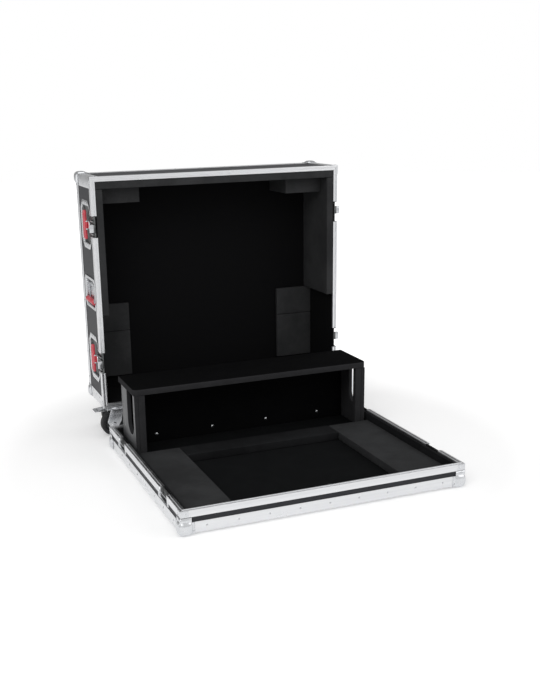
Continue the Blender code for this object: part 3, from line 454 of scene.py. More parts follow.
def soft_box(bm, low, high, radius, cell=0.02, ripple=0.0, seed=0.0, steps=3, matrix=Matrix.Identity(4)):
    """A box in rounded quads. ripple draws its faces in a little, unevenly, as cut foam is."""
    low, size = Vector(low), Vector(high) - Vector(low)
    rounding = [min(radius, s / 2) for s in size]
    lines = []
    for s in size:
        r = min(radius, s / 2 * 0.999)
        count = max(1, round((s - 2 * r) / cell))
        near = [r * (1 - math.cos(math.pi / 2 * k / steps)) for k in range(steps)]
        lines.append(near + [r + (s - 2 * r) * k / count for k in range(count + 1)] + [s - d for d in near[::-1]])
    made = {}

    def corner(key):
        if key not in made:
            p = Vector([line[i] for line, i in zip(lines, key)])
            q = Vector([min(max(c, r), s - r) for c, r, s in zip(p, rounding, size)])
            outward = (p - q).normalized() if (p - q).length > 1e-9 else Vector()
            if outward.length > 0:
                p = q + outward * radius
            if ripple:
                wave = 0.5 + 0.5 * noise.noise((low + p) * 11.0 + Vector((seed, seed, seed)))
                p -= outward * ripple * wave
            made[key] = bm.verts.new(matrix @ (low + p))
        return made[key]

    counts = [len(line) - 1 for line in lines]
    for axis in range(3):
        u_axis, v_axis = [a for a in range(3) if a != axis]
        for end in (0, counts[axis]):
            for i in range(counts[u_axis]):
                for j in range(counts[v_axis]):
                    keys = []
                    for u, v in ((i, j), (i + 1, j), (i + 1, j + 1), (i, j + 1)):
                        key = [end] * 3
                        key[u_axis], key[v_axis] = u, v
                        keys.append(tuple(key))
                    bm.faces.new([corner(key) for key in keys])


RIVET = [(0.0034, -0.0002), (0.0034, 0.0003), (0.0030, 0.0008), (0.0021, 0.0012), (0.0012, 0.0013),
         (0.0010, 0.0009), (0.0, 0.0008)]


def rivet(bm, point, direction, size=1.0):
    turned(bm, [(r * size, h * size) for r, h in RIVET], 14, facing(point, direction))


def bolt(bm, point, direction, size, spin):
    """A washer with a six-sided head on it."""
    matrix = facing(point, direction, spin)
    for profile, segments in (([(0.0068, 0.0), (0.0068, 0.0007), (0.0064, 0.0010), (0.0, 0.0010)], 20),
                              ([(0.0050, 0.0009), (0.0050, 0.0036), (0.0044, 0.0042), (0.0, 0.0042)], 6)):
        turned(bm, [(r * size, h * size) for r, h in profile], segments, matrix)


def piece(name, bm, material, body, slot, *nodes, matrix=None, smooth=38, solid=None):
    """One finished piece on a body, standing for the named frame nodes."""
    bmesh.ops.remove_doubles(bm, verts=bm.verts, dist=0.000005)
    if matrix is not None:
        bmesh.ops.transform(bm, matrix=matrix, verts=bm.verts)
    if body == "tray":
        bmesh.ops.translate(bm, vec=(0.0, 0.0, STAND), verts=bm.verts)
    bmesh.ops.recalc_face_normals(bm, faces=bm.faces)
    mesh = bpy.data.meshes.new(name)
    bm.to_mesh(mesh)
    bm.free()
    made = bpy.data.objects.new(name, mesh)
    bpy.context.scene.collection.objects.link(made)
    mesh.materials.append(material)
    mesh.shade_smooth()
    mesh.set_sharp_from_angle(angle=math.radians(smooth))
    if solid:
        modifier = made.modifiers.new("thickness", "SOLIDIFY")
        modifier.thickness = solid
        modifier.offset = -1
    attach(made, body)
    if nodes:
        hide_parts(*nodes)
    return made


# Straight sections: u is the inset, v the other direction, s the way along

def run(bm, section, place, s0, s1, mitre0=False, mitre1=False):
    loft(bm, [[place(u, v, s0 + (u if mitre0 else 0.0)) for u, v in section],
              [place(u, v, s1 - (u if mitre1 else 0.0)) for u, v in section]])


TRAY_PLACES = {
    "front": lambda u, v, s: (s, FRONT + u, v),
    "back": lambda u, v, s: (s, TRAY_BACK - u, v),
    "left": lambda u, v, s: (-HALF + u, s, v),
    "right": lambda u, v, s: (HALF - u, s, v),
}
LID_PLACES = {
    "bottom": lambda u, v, s: (s, OPEN + v, BOTTOM + u),
    "top": lambda u, v, s: (s, OPEN + v, TOP - u),
    "left": lambda u, v, s: (-HALF + u, OPEN + v, s),
    "right": lambda u, v, s: (HALF - u, OPEN + v, s),
}


def section(points):
    """An outline from (u, v, corner radius in millimetres) points."""
    return fillet([(u, v) for u, v, _ in points], [r / 1000 for _, _, r in points], 3)


TRAY_RIM = section([(0, 0.055, 0.3), (0, 0.078, 0.8), (0.0076, 0.078, 0.3), (0.0077, 0.0804, 0.7),
                    (0.0103, 0.0804, 0.7), (0.0104, 0.078, 0.3), (RIM, 0.078, 0.8), (RIM, 0.066, 0.3),
                    (0.0165, 0.066, 0.3), (0.0165, 0.0762, 0), (0.0015, 0.0762, 0), (0.0015, 0.055, 0.3)])
LID_RIM = section([(0, 0.023, 0.3), (0, 0, 0.8), (0.0063, 0, 0.5), (0.0064, 0.0035, 0.3),
                   (0.0116, 0.0035, 0.3),
                   (0.0117, 0, 0.5), (RIM, 0, 0.8), (RIM, 0.012, 0.3), (0.0165, 0.012, 0.3),
                   (0.0165, 0.002, 0),
                   (0.0135, 0.002, 0), (0.0135, 0.0053, 0), (0.0045, 0.0053, 0), (0.0045, 0.002, 0),
                   (0.0015, 0.002, 0), (0.0015, 0.023, 0.3)])
BASE_EDGING = section([(0, 0.038, 0.5), (0, FOOT, 1.4), (0.030, FOOT, 0.5), (0.030, 0.0035, 0.5),
                       (0.0015, 0.0035, 0), (0.0015, 0.038, 0.5)])
BACK_EDGING = section([(0, 0.208, 0.5), (0, LID_DEPTH, 1.4), (0.035, LID_DEPTH, 0.5), (0.035, 0.2415, 0.5),
                       (0.0015, 0.2415, 0), (0.0015, 0.208, 0.5)])
DEPTH_EDGING = section([(0, 0.043, 0.5), (0, 0, 1.4), (0.035, 0, 0.5), (0.035, 0.0015, 0.5),
                        (0.0015, 0.0015, 0), (0.0015, 0.043, 0.5)])


def rail(name, section, place, s0, s1, axis, body, node, mitred=True):
    """One straight length of extrusion."""
    bm = bmesh.new()
    run(bm, section, place, s0, s1, mitred, mitred)
    piece(name, bm, ALU[axis], body, "aluminium", node, smooth=30)


def keeper_y(up):
    return TRAY_BACK - up


def side_runs(low, high, middles):
    """Stretches of a side left over between its notches."""
    stops = [low]
    for middle in sorted(middles):
        stops += [middle - NOTCH, middle + NOTCH]
    stops.append(high)
    return list(zip(stops[::2], stops[1::2]))


def make_rims():
    for body, (low, high), places, profile, ends, axis in (
            ("tray", (FRONT, TRAY_BACK), TRAY_PLACES, TRAY_RIM, ("front", "back"), "y"),
            ("lid", (BOTTOM, TOP), LID_PLACES, LID_RIM, ("bottom", "top"), "z")):
        node = body + "_rim"
        for end in ends:
            rail(f"{node}_{end}", profile, places[end], -HALF, HALF, "x", body, node)
        middles = [keeper_y(up) if body == "tray" else BOTTOM + up for up in LATCH_UPS.values()]
        for side in SIDES:
            bm = bmesh.new()
            for s0, s1 in side_runs(low, high, middles):
                run(bm, profile, places[side], s0, s1, s0 == low, s1 == high)
            piece(f"{node}_{side}", bm, ALU[axis], body, "aluminium", node, smooth=30)


def make_edgings():
    tray, lid = ("tray", "tray_base_edging"), ("lid", "lid_edging")
    for end in ("front", "back"):
        rail(f"tray_base_edging_{end}", BASE_EDGING, TRAY_PLACES[end], -HALF, HALF, "x", *tray)
    for side in SIDES:
        rail(f"tray_base_edging_{side}", BASE_EDGING, TRAY_PLACES[side], FRONT, TRAY_BACK, "y", *tray)
        rail(f"lid_back_edging_{side}", BACK_EDGING, LID_PLACES[side], BOTTOM, TOP, "z", *lid)
    for end, level, way in (("bottom", BOTTOM, 1), ("top", TOP, -1)):
        rail(f"lid_back_edging_{end}", BACK_EDGING, LID_PLACES[end], -HALF, HALF, "x", *lid)
        for side_name, side in SIDES.items():
            def place(u, v, s, side=side, level=level, way=way):
                return (side * (HALF - u), OPEN + s, level + way * v)
            rail(f"lid_edging_{end}_{side_name}", DEPTH_EDGING, place, 0.0233, 0.2076, "y", *lid, False)


# Ball corners: the outer surface of a box corner, swollen by a squared-off ball and cut to three legs

def corner_surface(bm, reach, narrow, level, flat):
    """Case corner at the origin, case towards +x, +y and +z. narrow and level cut the two side faces' legs."""
    rounding, blend = 0.003, 0.0020
    middle = Vector((KNOB_INSET,) * 3)
    radius = KNOB_RADIUS - 0.0001
    spots = [-PROUD + d for d in (0.0, 0.0007, 0.0018, rounding)]
    for axis in range(3):
        u_axis, v_axis = [a for a in range(3) if a != axis]
        lines = []
        for a in (u_axis, v_axis):
            stops = spots + [0.003 + 0.0019 * k for k in range(21)] + [narrow, level]
            stops = sorted({round(s, 5) for s in stops if s < reach[a] - 0.001})
            kept = [stops[0]]
            for s in stops[1:]:
                if s - kept[-1] > 0.0006:
                    kept.append(s)
            lines.append(kept + [reach[a]])
        grid = {}
        for i, u in enumerate(lines[0]):
            for j, v in enumerate(lines[1]):
                p = Vector((0, 0, 0))
                p[axis], p[u_axis], p[v_axis] = -PROUD, u, v
                q = Vector([max(c, -PROUD + rounding) for c in p])
                away = p - q
                if away.length > 1e-9:
                    p = q + away.normalized() * rounding
                out = p - middle
                d = sum(abs(c) ** 3 for c in out) ** (1 / 3)
                h = max(blend - abs(d - radius), 0.0) / blend
                swollen = max(d, radius) + h * h * blend * 0.25
                groove = -0.0013 * math.exp(-((d - radius - 0.0019) / 0.0012) ** 2)
                p = middle + out * ((swollen + groove) / d)
                if flat is not None:
                    p.z = max(p.z, flat)
                grid[i, j] = p
        verts = {}
        for i in range(len(lines[0]) - 1):
            for j in range(len(lines[1]) - 1):
                u, v = (lines[0][i] + lines[0][i + 1]) / 2, (lines[1][j] + lines[1][j + 1]) / 2
                if axis < 2 and u > narrow and v > level:
                    continue
                keys = ((i, j), (i + 1, j), (i + 1, j + 1), (i, j + 1))
                for key in keys:
                    if key not in verts:
                        verts[key] = bm.verts.new(grid[key])
                face = [verts[key] for key in keys]
                bm.faces.new(face if axis != 1 else face[::-1])


def corner_places(tray_level, lid_y, lid_way):
    """Name, body and own frame of the tray's and the lid's corners, with the case towards +x, +y and +z."""
    for side_name, side in SIDES.items():
        for end_name, end, y in (("front", 1, FRONT), ("back", -1, TRAY_BACK)):
            place = Matrix.Translation((side * HALF, y, tray_level))
            yield f"{end_name}_{side_name}", "tray", place @ Matrix.Diagonal((-side, end, 1, 1))
        for end_name, end, z in (("bottom", 1, BOTTOM), ("top", -1, TOP)):
            place = Matrix.Translation((side * HALF, lid_y, z))
            yield f"{end_name}_{side_name}", "lid", place @ Matrix.Diagonal((-side, lid_way, end, 1))


def make_corners():
    shapes = {"tray": ((0.0448, 0.0448, 0.0525), 0.035, 0.036, -FOOT - STAND),
              "lid": ((0.0428, 0.0428, 0.0428), 0.060, 0.060, None)}
    rivets = {"tray": (((0.0415, -PROUD, 0.0080), (0, -1, 0)), ((-PROUD, 0.0415, 0.0080), (-1, 0, 0)),
                       ((0.0140, -PROUD, 0.0470), (0, -1, 0)), ((-PROUD, 0.0140, 0.0470), (-1, 0, 0))),
              "lid": (((-PROUD, 0.0382, 0.0382), (-1, 0, 0)), ((0.0382, -PROUD, 0.0382), (0, -1, 0)),
                      ((0.0382, 0.0382, -PROUD), (0, 0, -1)))}
    for where, body, matrix in corner_places(FOOT, LID_BACK, -1):
        bm = bmesh.new()
        corner_surface(bm, *shapes[body])
        piece(f"ball_corner_{where}", bm, ZINC, body, "zinc_steel", f"{body}_corner_{where}", matrix=matrix,
              solid=0.0012, smooth=50)
        bm = bmesh.new()
        for spot, way in rivets[body]:
            rivet(bm, spot, way, 0.9)
        piece(f"ball_corner_rivets_{where}", bm, ZINC_DULL, body, "zinc_steel", matrix=matrix)


def make_braces():
    """Bent corner plates on the rims, with one rivet on each leg."""
    leg, thick = 0.027, 0.0012
    outline = fillet([(-thick, -thick), (leg, -thick), (leg, 0.0), (0.0, 0.0), (0.0, leg), (-thick, leg)],
                     [0.0018, 0.0005, 0, 0.0004, 0, 0.0005], 3)
    for where, body, matrix in corner_places(0, OPEN, 1):
        bm = bmesh.new()
        if body == "tray":
            slab(bm, outline, "z", 0.0566, 0.0772, 0.0004)
            rivet(bm, (0.017, -thick, 0.067), (0, -1, 0), 0.85)
            rivet(bm, (-thick, 0.017, 0.067), (-1, 0, 0), 0.85)
        else:
            slab(bm, outline, "y", 0.0012, 0.0216, 0.0004)
            rivet(bm, (0.017, 0.0114, -thick), (0, 0, -1), 0.85)
            rivet(bm, (-thick, 0.0114, 0.017), (-1, 0, 0), 0.85)
        piece(f"{body}_brace_{where}", bm, ZINC, body, "zinc_steel", matrix=matrix)


def make_rivets():
    """Rows of rivets along the edgings and rims."""
    rows = {}

    def put(row, body, point, direction):
        rivet(rows.setdefault((row, body), bmesh.new()), point, direction)

    for x in [k * 0.104 for k in range(-4, 5)]:
        for end, y, way in (("front", FRONT, -1), ("back", TRAY_BACK, 1)):
            put(f"rivets_tray_{end}", "tray", (x, y, 0.022), (0, way, 0))
    for k in range(8):
        y = FRONT + 0.075 + k * (TRAY_BACK - FRONT - 0.15) / 7
        z = BOTTOM + 0.075 + k * (TOP - BOTTOM - 0.15) / 7
        for name, side in SIDES.items():
            put(f"rivets_tray_{name}", "tray", (side * HALF, y, 0.022), (side, 0, 0))
            put(f"rivets_lid_back_{name}", "lid", (side * HALF, LID_BACK - 0.018, z), (side, 0, 0))
            put(f"rivets_lid_back_{name}", "lid", (side * (HALF - 0.020), LID_BACK, z), (0, 1, 0))
    for x in [k * 0.104 for k in range(-4, 5)]:
        for end, z, way in (("bottom", BOTTOM, -1), ("top", TOP, 1)):
            put(f"rivets_lid_{end}", "lid", (x, LID_BACK - 0.018, z), (0, 0, way))
            put(f"rivets_lid_{end}", "lid", (x, LID_BACK, z - way * 0.020), (0, 1, 0))
    for side in SIDES.values():
        for end, z, way in (("bottom", BOTTOM, -1), ("top", TOP, 1)):
            for deep in (0.060, 0.115, 0.170):
                put(f"rivets_lid_{end}", "lid", (side * HALF, OPEN + deep, z - way * 0.030), (side, 0, 0))
                put(f"rivets_lid_{end}", "lid", (side * (HALF - 0.022), OPEN + deep, z), (0, 0, way))
    for (row, body), bm in rows.items():
        piece(row, bm, ZINC_DULL, body, "zinc_steel")


# Latches, in their own frame: x outward, y back into the lid, z up, origin on the hub's axis at the case side

def latch_frame(side, up):
    place = Matrix.Translation((side * HALF, OPEN + HUB_DEEP, BOTTOM + up))
    return place if side > 0 else place @ Matrix.Rotation(math.pi, 4, "Y")


def latch_loop(near, far, half, slant, neck, radius, x):
    mouth = -0.0817
    points = [(mouth, -neck), (near, -neck), (near, -half + slant), (near + slant, -half),
              (far - slant, -half),
              (far, -half + slant), (far, half - slant), (far - slant, half), (near + slant, half),
              (near, half - slant), (near, neck), (mouth, neck)]
    radii = [0, 0.0015] + [radius] * 8 + [0.0015, 0]
    return [(x, u, v) for u, v in fillet(points, radii, 5)]


def make_latch(where, side, up):
    matrix = latch_frame(side, up)
    bm = bmesh.new()
    top = -0.0003
    loops = [latch_loop(-0.052, 0.108, 0.091, 0.034, 0.0397, 0.004, -0.0012),
             latch_loop(-0.052, 0.108, 0.091, 0.034, 0.0397, 0.004, top - 0.0003),
             latch_loop(-0.0516, 0.1076, 0.0906, 0.034, 0.0394, 0.004, top)]
    near, far, half, slant = -0.0408, 0.0928, 0.0708, 0.0155
    for grow, neck, x in ((0.0022, 0.0391, top), (0.0010, 0.0389, top - 0.0003),
                          (0.0002, 0.0387, top - 0.0010),
                          (0.0, 0.0385, top - 0.0020), (-0.0004, 0.0382, POCKET_FLOOR + 0.0026),
                          (-0.0009, 0.0377, POCKET_FLOOR + 0.0010), (-0.0017, 0.0370, POCKET_FLOOR + 0.0003),
                          (-0.0028, 0.0362, POCKET_FLOOR)):
        loops.append(latch_loop(near - grow, far + grow, half + grow, slant, neck, 0.006 + grow, x))
    loft(bm, loops, (False, True), skip={len(loops[0]) - 1})
    piece(f"latch_pressing_{where}", bm, ZINC_DEEP_SHADE, "lid", "zinc_steel", f"latch_dish_{where}",
          matrix=matrix, solid=0.0009)

    bm = bmesh.new()
    for y, z in ((0.012, 0.0822), (0.044, 0.0822), (0.1008, 0.034), (-0.0468, 0.0475)):
        for way in (-1, 1):
            rivet(bm, (top, y, way * z), (1, 0, 0), 0.9)
    piece(f"latch_rivets_{where}", bm, ZINC_DULL, "lid", "zinc_steel", matrix=matrix)

    hub_body = f"latch_hub_{where}"
    bm = bmesh.new()
    floor = POCKET_FLOOR + 0.0003
    turned(bm, [(0.0170, floor), (0.0170, -0.0028), (0.0164, -0.0018), (0.0152, -0.0012), (0.0120, -0.0012),
                (0.0112, -0.0020), (0.0060, -0.0020), (0.0052, -0.0012), (0.0030, -0.0010), (0.0, -0.0010)],
           48,
           facing((0, 0, 0), (1, 0, 0)))
    lug = fillet([(-0.0030, -0.0042), (0.0030, -0.0042), (0.0072, -0.0020), (0.0072, 0.0020),
                  (0.0030, 0.0042),
                  (-0.0030, 0.0042)], [0, 0.003, 0.002, 0.002, 0.003, 0], 3)
    for way in (-1, 1):
        z0, z1 = sorted((way * 0.0125, way * 0.0160))
        slab(bm, lug, "z", z0, z1, 0.0004)
    turned(bm, [(0.0016, -0.0178), (0.0021, -0.0174), (0.0021, -0.0166), (0.0015, -0.0165), (0.0015, 0.0165),
                (0.0021, 0.0166), (0.0021, 0.0174), (0.0016, 0.0178)], 16, Matrix.Translation((0.003, 0, 0)))
    piece(f"latch_drum_{where}", bm, ZINC_DEEP_SHADE, hub_body, "zinc_steel", hub_body, matrix=matrix)

    # A red disc over the hub's face stands in for the red wing's pinkish reflection in the metal: a painted
    # reflection.
    bm = bmesh.new()
    turned(bm, [(0.0150, -0.0013), (0.0150, -0.0008), (0.0143, -0.0004), (0.0060, -0.0002), (0.0, -0.0002)],
           40,
           facing((0, 0, 0), (1, 0, 0)))
    piece(f"latch_reflection_cap_{where}", bm, RED, hub_body, "red_plastic", matrix=matrix, smooth=45)

    wing_body = f"latch_wing_{where}"
    near, far, high = 0.0060, 0.0410, 0.0545
    outline = fillet(rectangle(near, far, -high, high), [0.008, 0.016, 0.016, 0.008], 6)
    bm = bmesh.new()
    levels = [(0.0018, 0.0005), (0.0006, 0.0009), (0.0, 0.0022), (0.0, 0.0062), (0.0005, 0.0076),
              (0.0016, 0.0086),
              (0.0030, 0.0090), (0.0052, 0.0090), (0.0060, 0.0087), (0.0066, 0.0078), (0.0074, 0.0074)]
    loft(bm, [[(x, u, v) for u, v in offset(outline, inward)] for inward, x in levels])
    for way in (-1, 1):
        for k in range(5):
            z = way * (0.0225 + 0.0048 * k)
            soft_box(bm, (0.0068, near + 0.0085, z - 0.0010), (0.0086, far - 0.0085, z + 0.0010), 0.0008,
                     0.02, steps=2)
    soft_box(bm, (0.0010, -0.0004, -0.0120), (0.0054, near + 0.003, 0.0120), 0.0008, 0.02, steps=2)
    turned(bm, [(0.0026, -0.0121), (0.0030, -0.0117), (0.0030, 0.0117), (0.0026, 0.0121)], 20,
           Matrix.Translation((0.003, 0, 0)))
    piece(f"latch_grip_{where}", bm, RED, wing_body, "red_plastic", wing_body, matrix=matrix, smooth=45)

    hook_body = f"latch_hook_{where}"
    bm = bmesh.new()
    floor = POCKET_FLOOR + 0.0007
    profile = fillet([(floor, -0.0811), (0.0100, -0.0811), (0.0100, -0.0722), (0.0070, -0.0702),
                      (-0.0050, -0.0692),
                      (-0.0060, -0.0652), (-0.0060, -0.0178), (floor, -0.0178)],
                     [0.001, 0.003, 0.002, 0.002, 0.0025, 0.002, 0.001, 0.0005], 3)
    slab(bm, profile, "z", -0.0088, 0.0208, 0.0009, 2)
    soft_box(bm, (-0.0062, -0.0620, 0.0015), (-0.0046, -0.0230, 0.0105), 0.0007, 0.02, steps=2)
    rivet(bm, (-0.0060, -0.0560, -0.0045), (1, 0, 0), 0.9)
    rivet(bm, (-0.0060, -0.0290, -0.0045), (1, 0, 0), 0.9)
    piece(f"latch_claw_{where}", bm, ZINC_DEEP_SHADE, hook_body, "zinc_steel", hook_body, matrix=matrix)

    bm = bmesh.new()
    for way in (-1, 1):
        z0, z1 = sorted((way * 0.0225 + 0.006, way * 0.0255 + 0.006))
        guide = fillet([(POCKET_FLOOR, -0.0660), (-0.0030, -0.0630), (-0.0030, -0.0280),
                        (POCKET_FLOOR, -0.0250)],
                       [0, 0.002, 0.002, 0], 3)
        slab(bm, guide, "z", z0, z1, 0.0005)
    piece(f"latch_guides_{where}", bm, ZINC_DEEP_SHADE, "lid", "zinc_steel", matrix=matrix)


def make_keepers():
    for side_name, side in SIDES.items():
        for end_name, height in (("front", "upper"), ("back", "lower")):
            where = f"{end_name}_{side_name}"
            place = Matrix.Translation((side * HALF, keeper_y(LATCH_UPS[height]), 0))
            matrix = place if side > 0 else place @ Matrix.Rotation(math.pi, 4, "Z")
            top, high = -0.0003, 0.0777

            def loop(side_reach, wing, low, wing_top, x, corner):
                points = [(-side_reach, high), (-side_reach, wing_top), (-wing, wing_top), (-wing, low),
                          (wing, low), (wing, wing_top), (side_reach, wing_top), (side_reach, high)]
                radii = [0, 0.0004, corner, corner, corner, corner, 0.0004, 0]
                return [(x, u, v) for u, v in fillet(points, radii, 3)]

            loops = [loop(0.0396, 0.0570, 0.0407, 0.0546, -0.0014, 0.004),
                     loop(0.0396, 0.0570, 0.0407, 0.0546, top - 0.0003, 0.004),
                     loop(0.0394, 0.0567, 0.0410, 0.0543, top, 0.004),
                     loop(0.0392, 0.0393, 0.0414, 0.0520, top, 0.002),
                     loop(0.0387, 0.0388, 0.0418, 0.0520, top - 0.0004, 0.002),
                     loop(0.0384, 0.0385, 0.0421, 0.0520, top - 0.0012, 0.002),
                     loop(0.0382, 0.0383, 0.0424, 0.0520, POCKET_FLOOR + 0.0020, 0.002),
                     loop(0.0374, 0.0375, 0.0432, 0.0520, POCKET_FLOOR, 0.002)]
            bm = bmesh.new()
            loft(bm, loops, (False, True), skip={len(loops[0]) - 1})
            piece(f"keeper_pressing_{where}", bm, ZINC_DEEP_SHADE, "tray", "zinc_steel", f"keeper_{where}",
                  matrix=matrix,
                  solid=0.0009)
            bm = bmesh.new()
            turned(bm, [(0.0019, -0.0383), (0.0019, 0.0383)], 16, facing((-0.0040, 0, 0.0600), (0, 1, 0)))
            for way in (-1, 1):
                rivet(bm, (top, way * 0.0482, 0.0476), (1, 0, 0), 0.8)
                turned(bm, [(0.0034, 0), (0.0034, 0.0012), (0.0028, 0.0016), (0, 0.0016)], 16,
                       facing((-0.0040, way * 0.0384, 0.0600), (0, -way, 0)))
            piece(f"keeper_strike_{where}", bm, ZINC_DULL, "tray", "zinc_steel", matrix=matrix)


# Handles, in their own frame: x outward, y back, z up, origin at the dish's middle on the case side

def make_handles():
    for side_name, side in SIDES.items():
        matrix = (Matrix.Translation((side * HALF, OPEN + HANDLE_DEEP, BOTTOM + HANDLE_UP))
                  @ Matrix.Diagonal((side, 1, 1, 1)))
        plate = fillet(chamfered(0.0905, 0.0605, 0.018), 0.004, 4)
        pocket = fillet(chamfered(0.0688, 0.0488, 0.010), 0.005, 4)
        loops = [[(x, u, v) for u, v in offset(plate, inward)]
                 for inward, x in ((0.0, 0.0004), (0.0, 0.0010), (0.0005, 0.0014))]
        loops += [[(x, u, v) for u, v in offset(pocket, inward)]
                  for inward, x in ((-0.0026, 0.0014), (-0.0012, 0.0011), (-0.0003, 0.0003), (0.0, -0.0008),
                                    (0.0005, POCKET_FLOOR + 0.0030), (0.0011, POCKET_FLOOR + 0.0011),
                                    (0.0020, POCKET_FLOOR + 0.0003), (0.0032, POCKET_FLOOR))]
        bm = bmesh.new()
        loft(bm, loops, (False, True))
        piece(f"handle_pressing_{side_name}", bm, ZINC_DULL, "lid", "zinc_steel", f"handle_dish_{side_name}",
              matrix=matrix, solid=0.0008)
        bm = bmesh.new()
        for u, v in ((0.0810, 0.034), (0.0810, -0.034), (-0.0810, 0.034), (-0.0810, -0.034), (0.045, 0.0550),
                     (-0.045, 0.0550), (0.045, -0.0550), (-0.045, -0.0550)):
            rivet(bm, (0.0014, u, v), (1, 0, 0), 0.9)
        for way in (-1, 1):
            turned(bm, [(0.0060, 0), (0.0060, 0.0012), (0.0048, 0.0020), (0.0, 0.0020)], 24,
                   facing((-0.004, way * 0.0685, 0.035), (0, -way, 0)))
        piece(f"handle_rivets_{side_name}", bm, ZINC_DULL, "lid", "zinc_steel", matrix=matrix)

        body = f"handle_bail_{side_name}"
        pivot = Vector((-0.004, 0, 0.035))
        bm = bmesh.new()
        turned(bm, [(0.0024, -0.0662), (0.0028, -0.0658), (0.0028, 0.0658), (0.0024, 0.0662)], 18,
               facing(pivot, (0, 1, 0)))
        for way in (-1, 1):
            arm = fillet([(-0.0044, -0.0665), (0.0060, -0.0690), (0.0085, -0.0600), (0.0044, -0.0450),
                          (0.0044, 0.0044), (-0.0044, 0.0044), (-0.0044, -0.0450)],
                         [0.003, 0.003, 0.004, 0.01, 0.004, 0.004, 0.01], 4)
            y0, y1 = sorted((way * 0.0582, way * 0.0618))
            bmarm = [(pivot.x + u, v + pivot.z) for u, v in arm]
            loops = []
            for inward, y in ((0.0006, y0), (0.0, y0 + 0.0006), (0.0, y1 - 0.0006), (0.0006, y1)):
                loops.append([(u, y, v) for u, v in offset(bmarm, inward)])
            loft(bm, loops)
        piece(f"handle_arms_{side_name}", bm, ZINC, body, "zinc_steel", body, matrix=matrix)

        bm = bmesh.new()
        profile = [(0.0062, -0.0575), (0.0086, -0.0573), (0.0098, -0.0560)]
        for k in range(9):
            y = -0.050 + 0.0125 * k
            profile += [(0.0099, y - 0.0036), (0.0099, y + 0.0030), (0.0093, y + 0.0044),
                        (0.0093, y + 0.0071)]
        profile = profile[:-2] + [(0.0098, 0.0560), (0.0086, 0.0573), (0.0062, 0.0575)]
        turned(bm, profile, 32, facing((0.0, 0.0, -0.030), (0, 1, 0)))
        piece(f"handle_grip_{side_name}", bm, RED, body, "red_plastic", matrix=matrix)

        bm = bmesh.new()
        for way in (-1, 1):
            turns, length, count = 9, 0.020, 9 * 14
            path = []
            for k in range(count + 1):
                angle = 2 * math.pi * turns * k / count
                path.append(pivot + Vector((0.0040 * math.cos(angle), way * (0.034 + length * k / count),
                                            0.0040 * math.sin(angle))))
            tube(bm, [path[0] + Vector((0.0, 0.0, -0.022))] + path + [path[-1] + Vector((0, 0, -0.018))],
                 0.0007, 6)
        piece(f"handle_spring_{side_name}", bm, ZINC_DULL, body, "zinc_steel", matrix=matrix)


# Foam, carpet and cable box

def make_soft(name, low, high, radius, material, body, slot, *nodes, ripple=0.0005, cell=0.02):
    bm = bmesh.new()
    soft_box(bm, low, high, radius, cell, ripple, seed=sum(map(ord, name)) % 97)
    made = piece(name, bm, material, body, slot, *nodes, smooth=60)
    return made


def make_tray_soft():
    back = TRAY_BACK
    low, high = FLOOR_TOP, 0.0735
    outer, inner = HALF - FOAM_INSET, HALF - LINING_INNER
    make_soft("lining_front", (-outer, FRONT + FOAM_INSET, low), (outer, FRONT + LINING_INNER, high), 0.002,
              FOAM_DARK, "tray", "black_lining", "tray_lining", ripple=0.0003)
    make_soft("lining_back", (-outer, back - LINING_INNER, low), (outer, back - FOAM_INSET, high), 0.002,
              FOAM_DARK, "tray", "black_lining", "tray_lining", ripple=0.0003)
    for side_name, side in SIDES.items():
        x0, x1 = sorted((side * outer, side * inner))
        make_soft(f"lining_{side_name}", (x0, FRONT + LINING_INNER + 0.0002, low),
                  (x1, back - LINING_INNER - 0.0002, high), 0.002, FOAM_DARK, "tray", "black_lining",
                  "tray_lining", ripple=0.0003)
        x0, x1 = sorted((side * 0.3015, side * (inner - 0.0004)))
        make_soft(f"pad_{side_name}", (x0, FRONT + 0.0287, 0.0174), (x1, FRONT + 0.6298, 0.0470), 0.0028,
                  FOAM,
                  "tray", "grey_foam", f"tray_pad_{side_name}")
    make_soft("strip_pad", (-0.3003, FRONT + 0.5405, CARPET_TOP + 0.0002), (0.3003, FRONT + 0.6330, 0.0469),
              0.0025,
              FOAM_DARK, "tray", "black_lining", "tray_lining")
    bm = bmesh.new()
    soft_box(bm, (-inner + 0.0001, FRONT + LINING_INNER + 0.0001, FLOOR_TOP),
             (inner - 0.0001, back - LINING_INNER - 0.0001, CARPET_TOP), 0.0012, 0.04, 0.0002)
    carpet = piece("tray_carpet", bm, CARPET, "tray", "black_lining", "tray_lining", smooth=60)


def make_lid_soft():
    deep = OPEN + 0.2312
    for side_name, side in SIDES.items():
        outer = side * (HALF - FOAM_INSET)
        liner = side * (HALF - 0.0450)

        def spot(name, xa, xb, y0, y1, up0, up1, radius=0.0028, ripple=0.0005):
            x0, x1 = sorted((xa, xb))
            make_soft(f"{name}_{side_name}", (x0, y0, BOTTOM + up0), (x1, y1, BOTTOM + up1), radius, FOAM_LID,
                      "lid", "grey_foam", "lid_foam", ripple=ripple)

        spot("lid_side_liner", outer, liner, OPEN + 0.0022, deep, 0.364, 0.8338)
        spot("lid_top_block", liner - side * 0.0004, side * 0.3002, OPEN + 0.060, deep, 0.775, 0.8338)
        pad = side * (HALF - 0.176)
        spot("lid_pad_low", outer, pad, OPEN + 0.2146, deep, 0.066, 0.2505, 0.0022, 0.0004)
        spot("lid_pad_high", outer, pad, OPEN + 0.2146, deep, 0.2518, 0.3636, 0.0022, 0.0004)
    make_soft("lid_top_liner", (-HALF + FOAM_INSET, OPEN + 0.0022, BOTTOM + 0.8342),
              (HALF - FOAM_INSET, deep, BOTTOM + 0.8615), 0.0028, FOAM_LID, "lid", "grey_foam", "lid_foam")


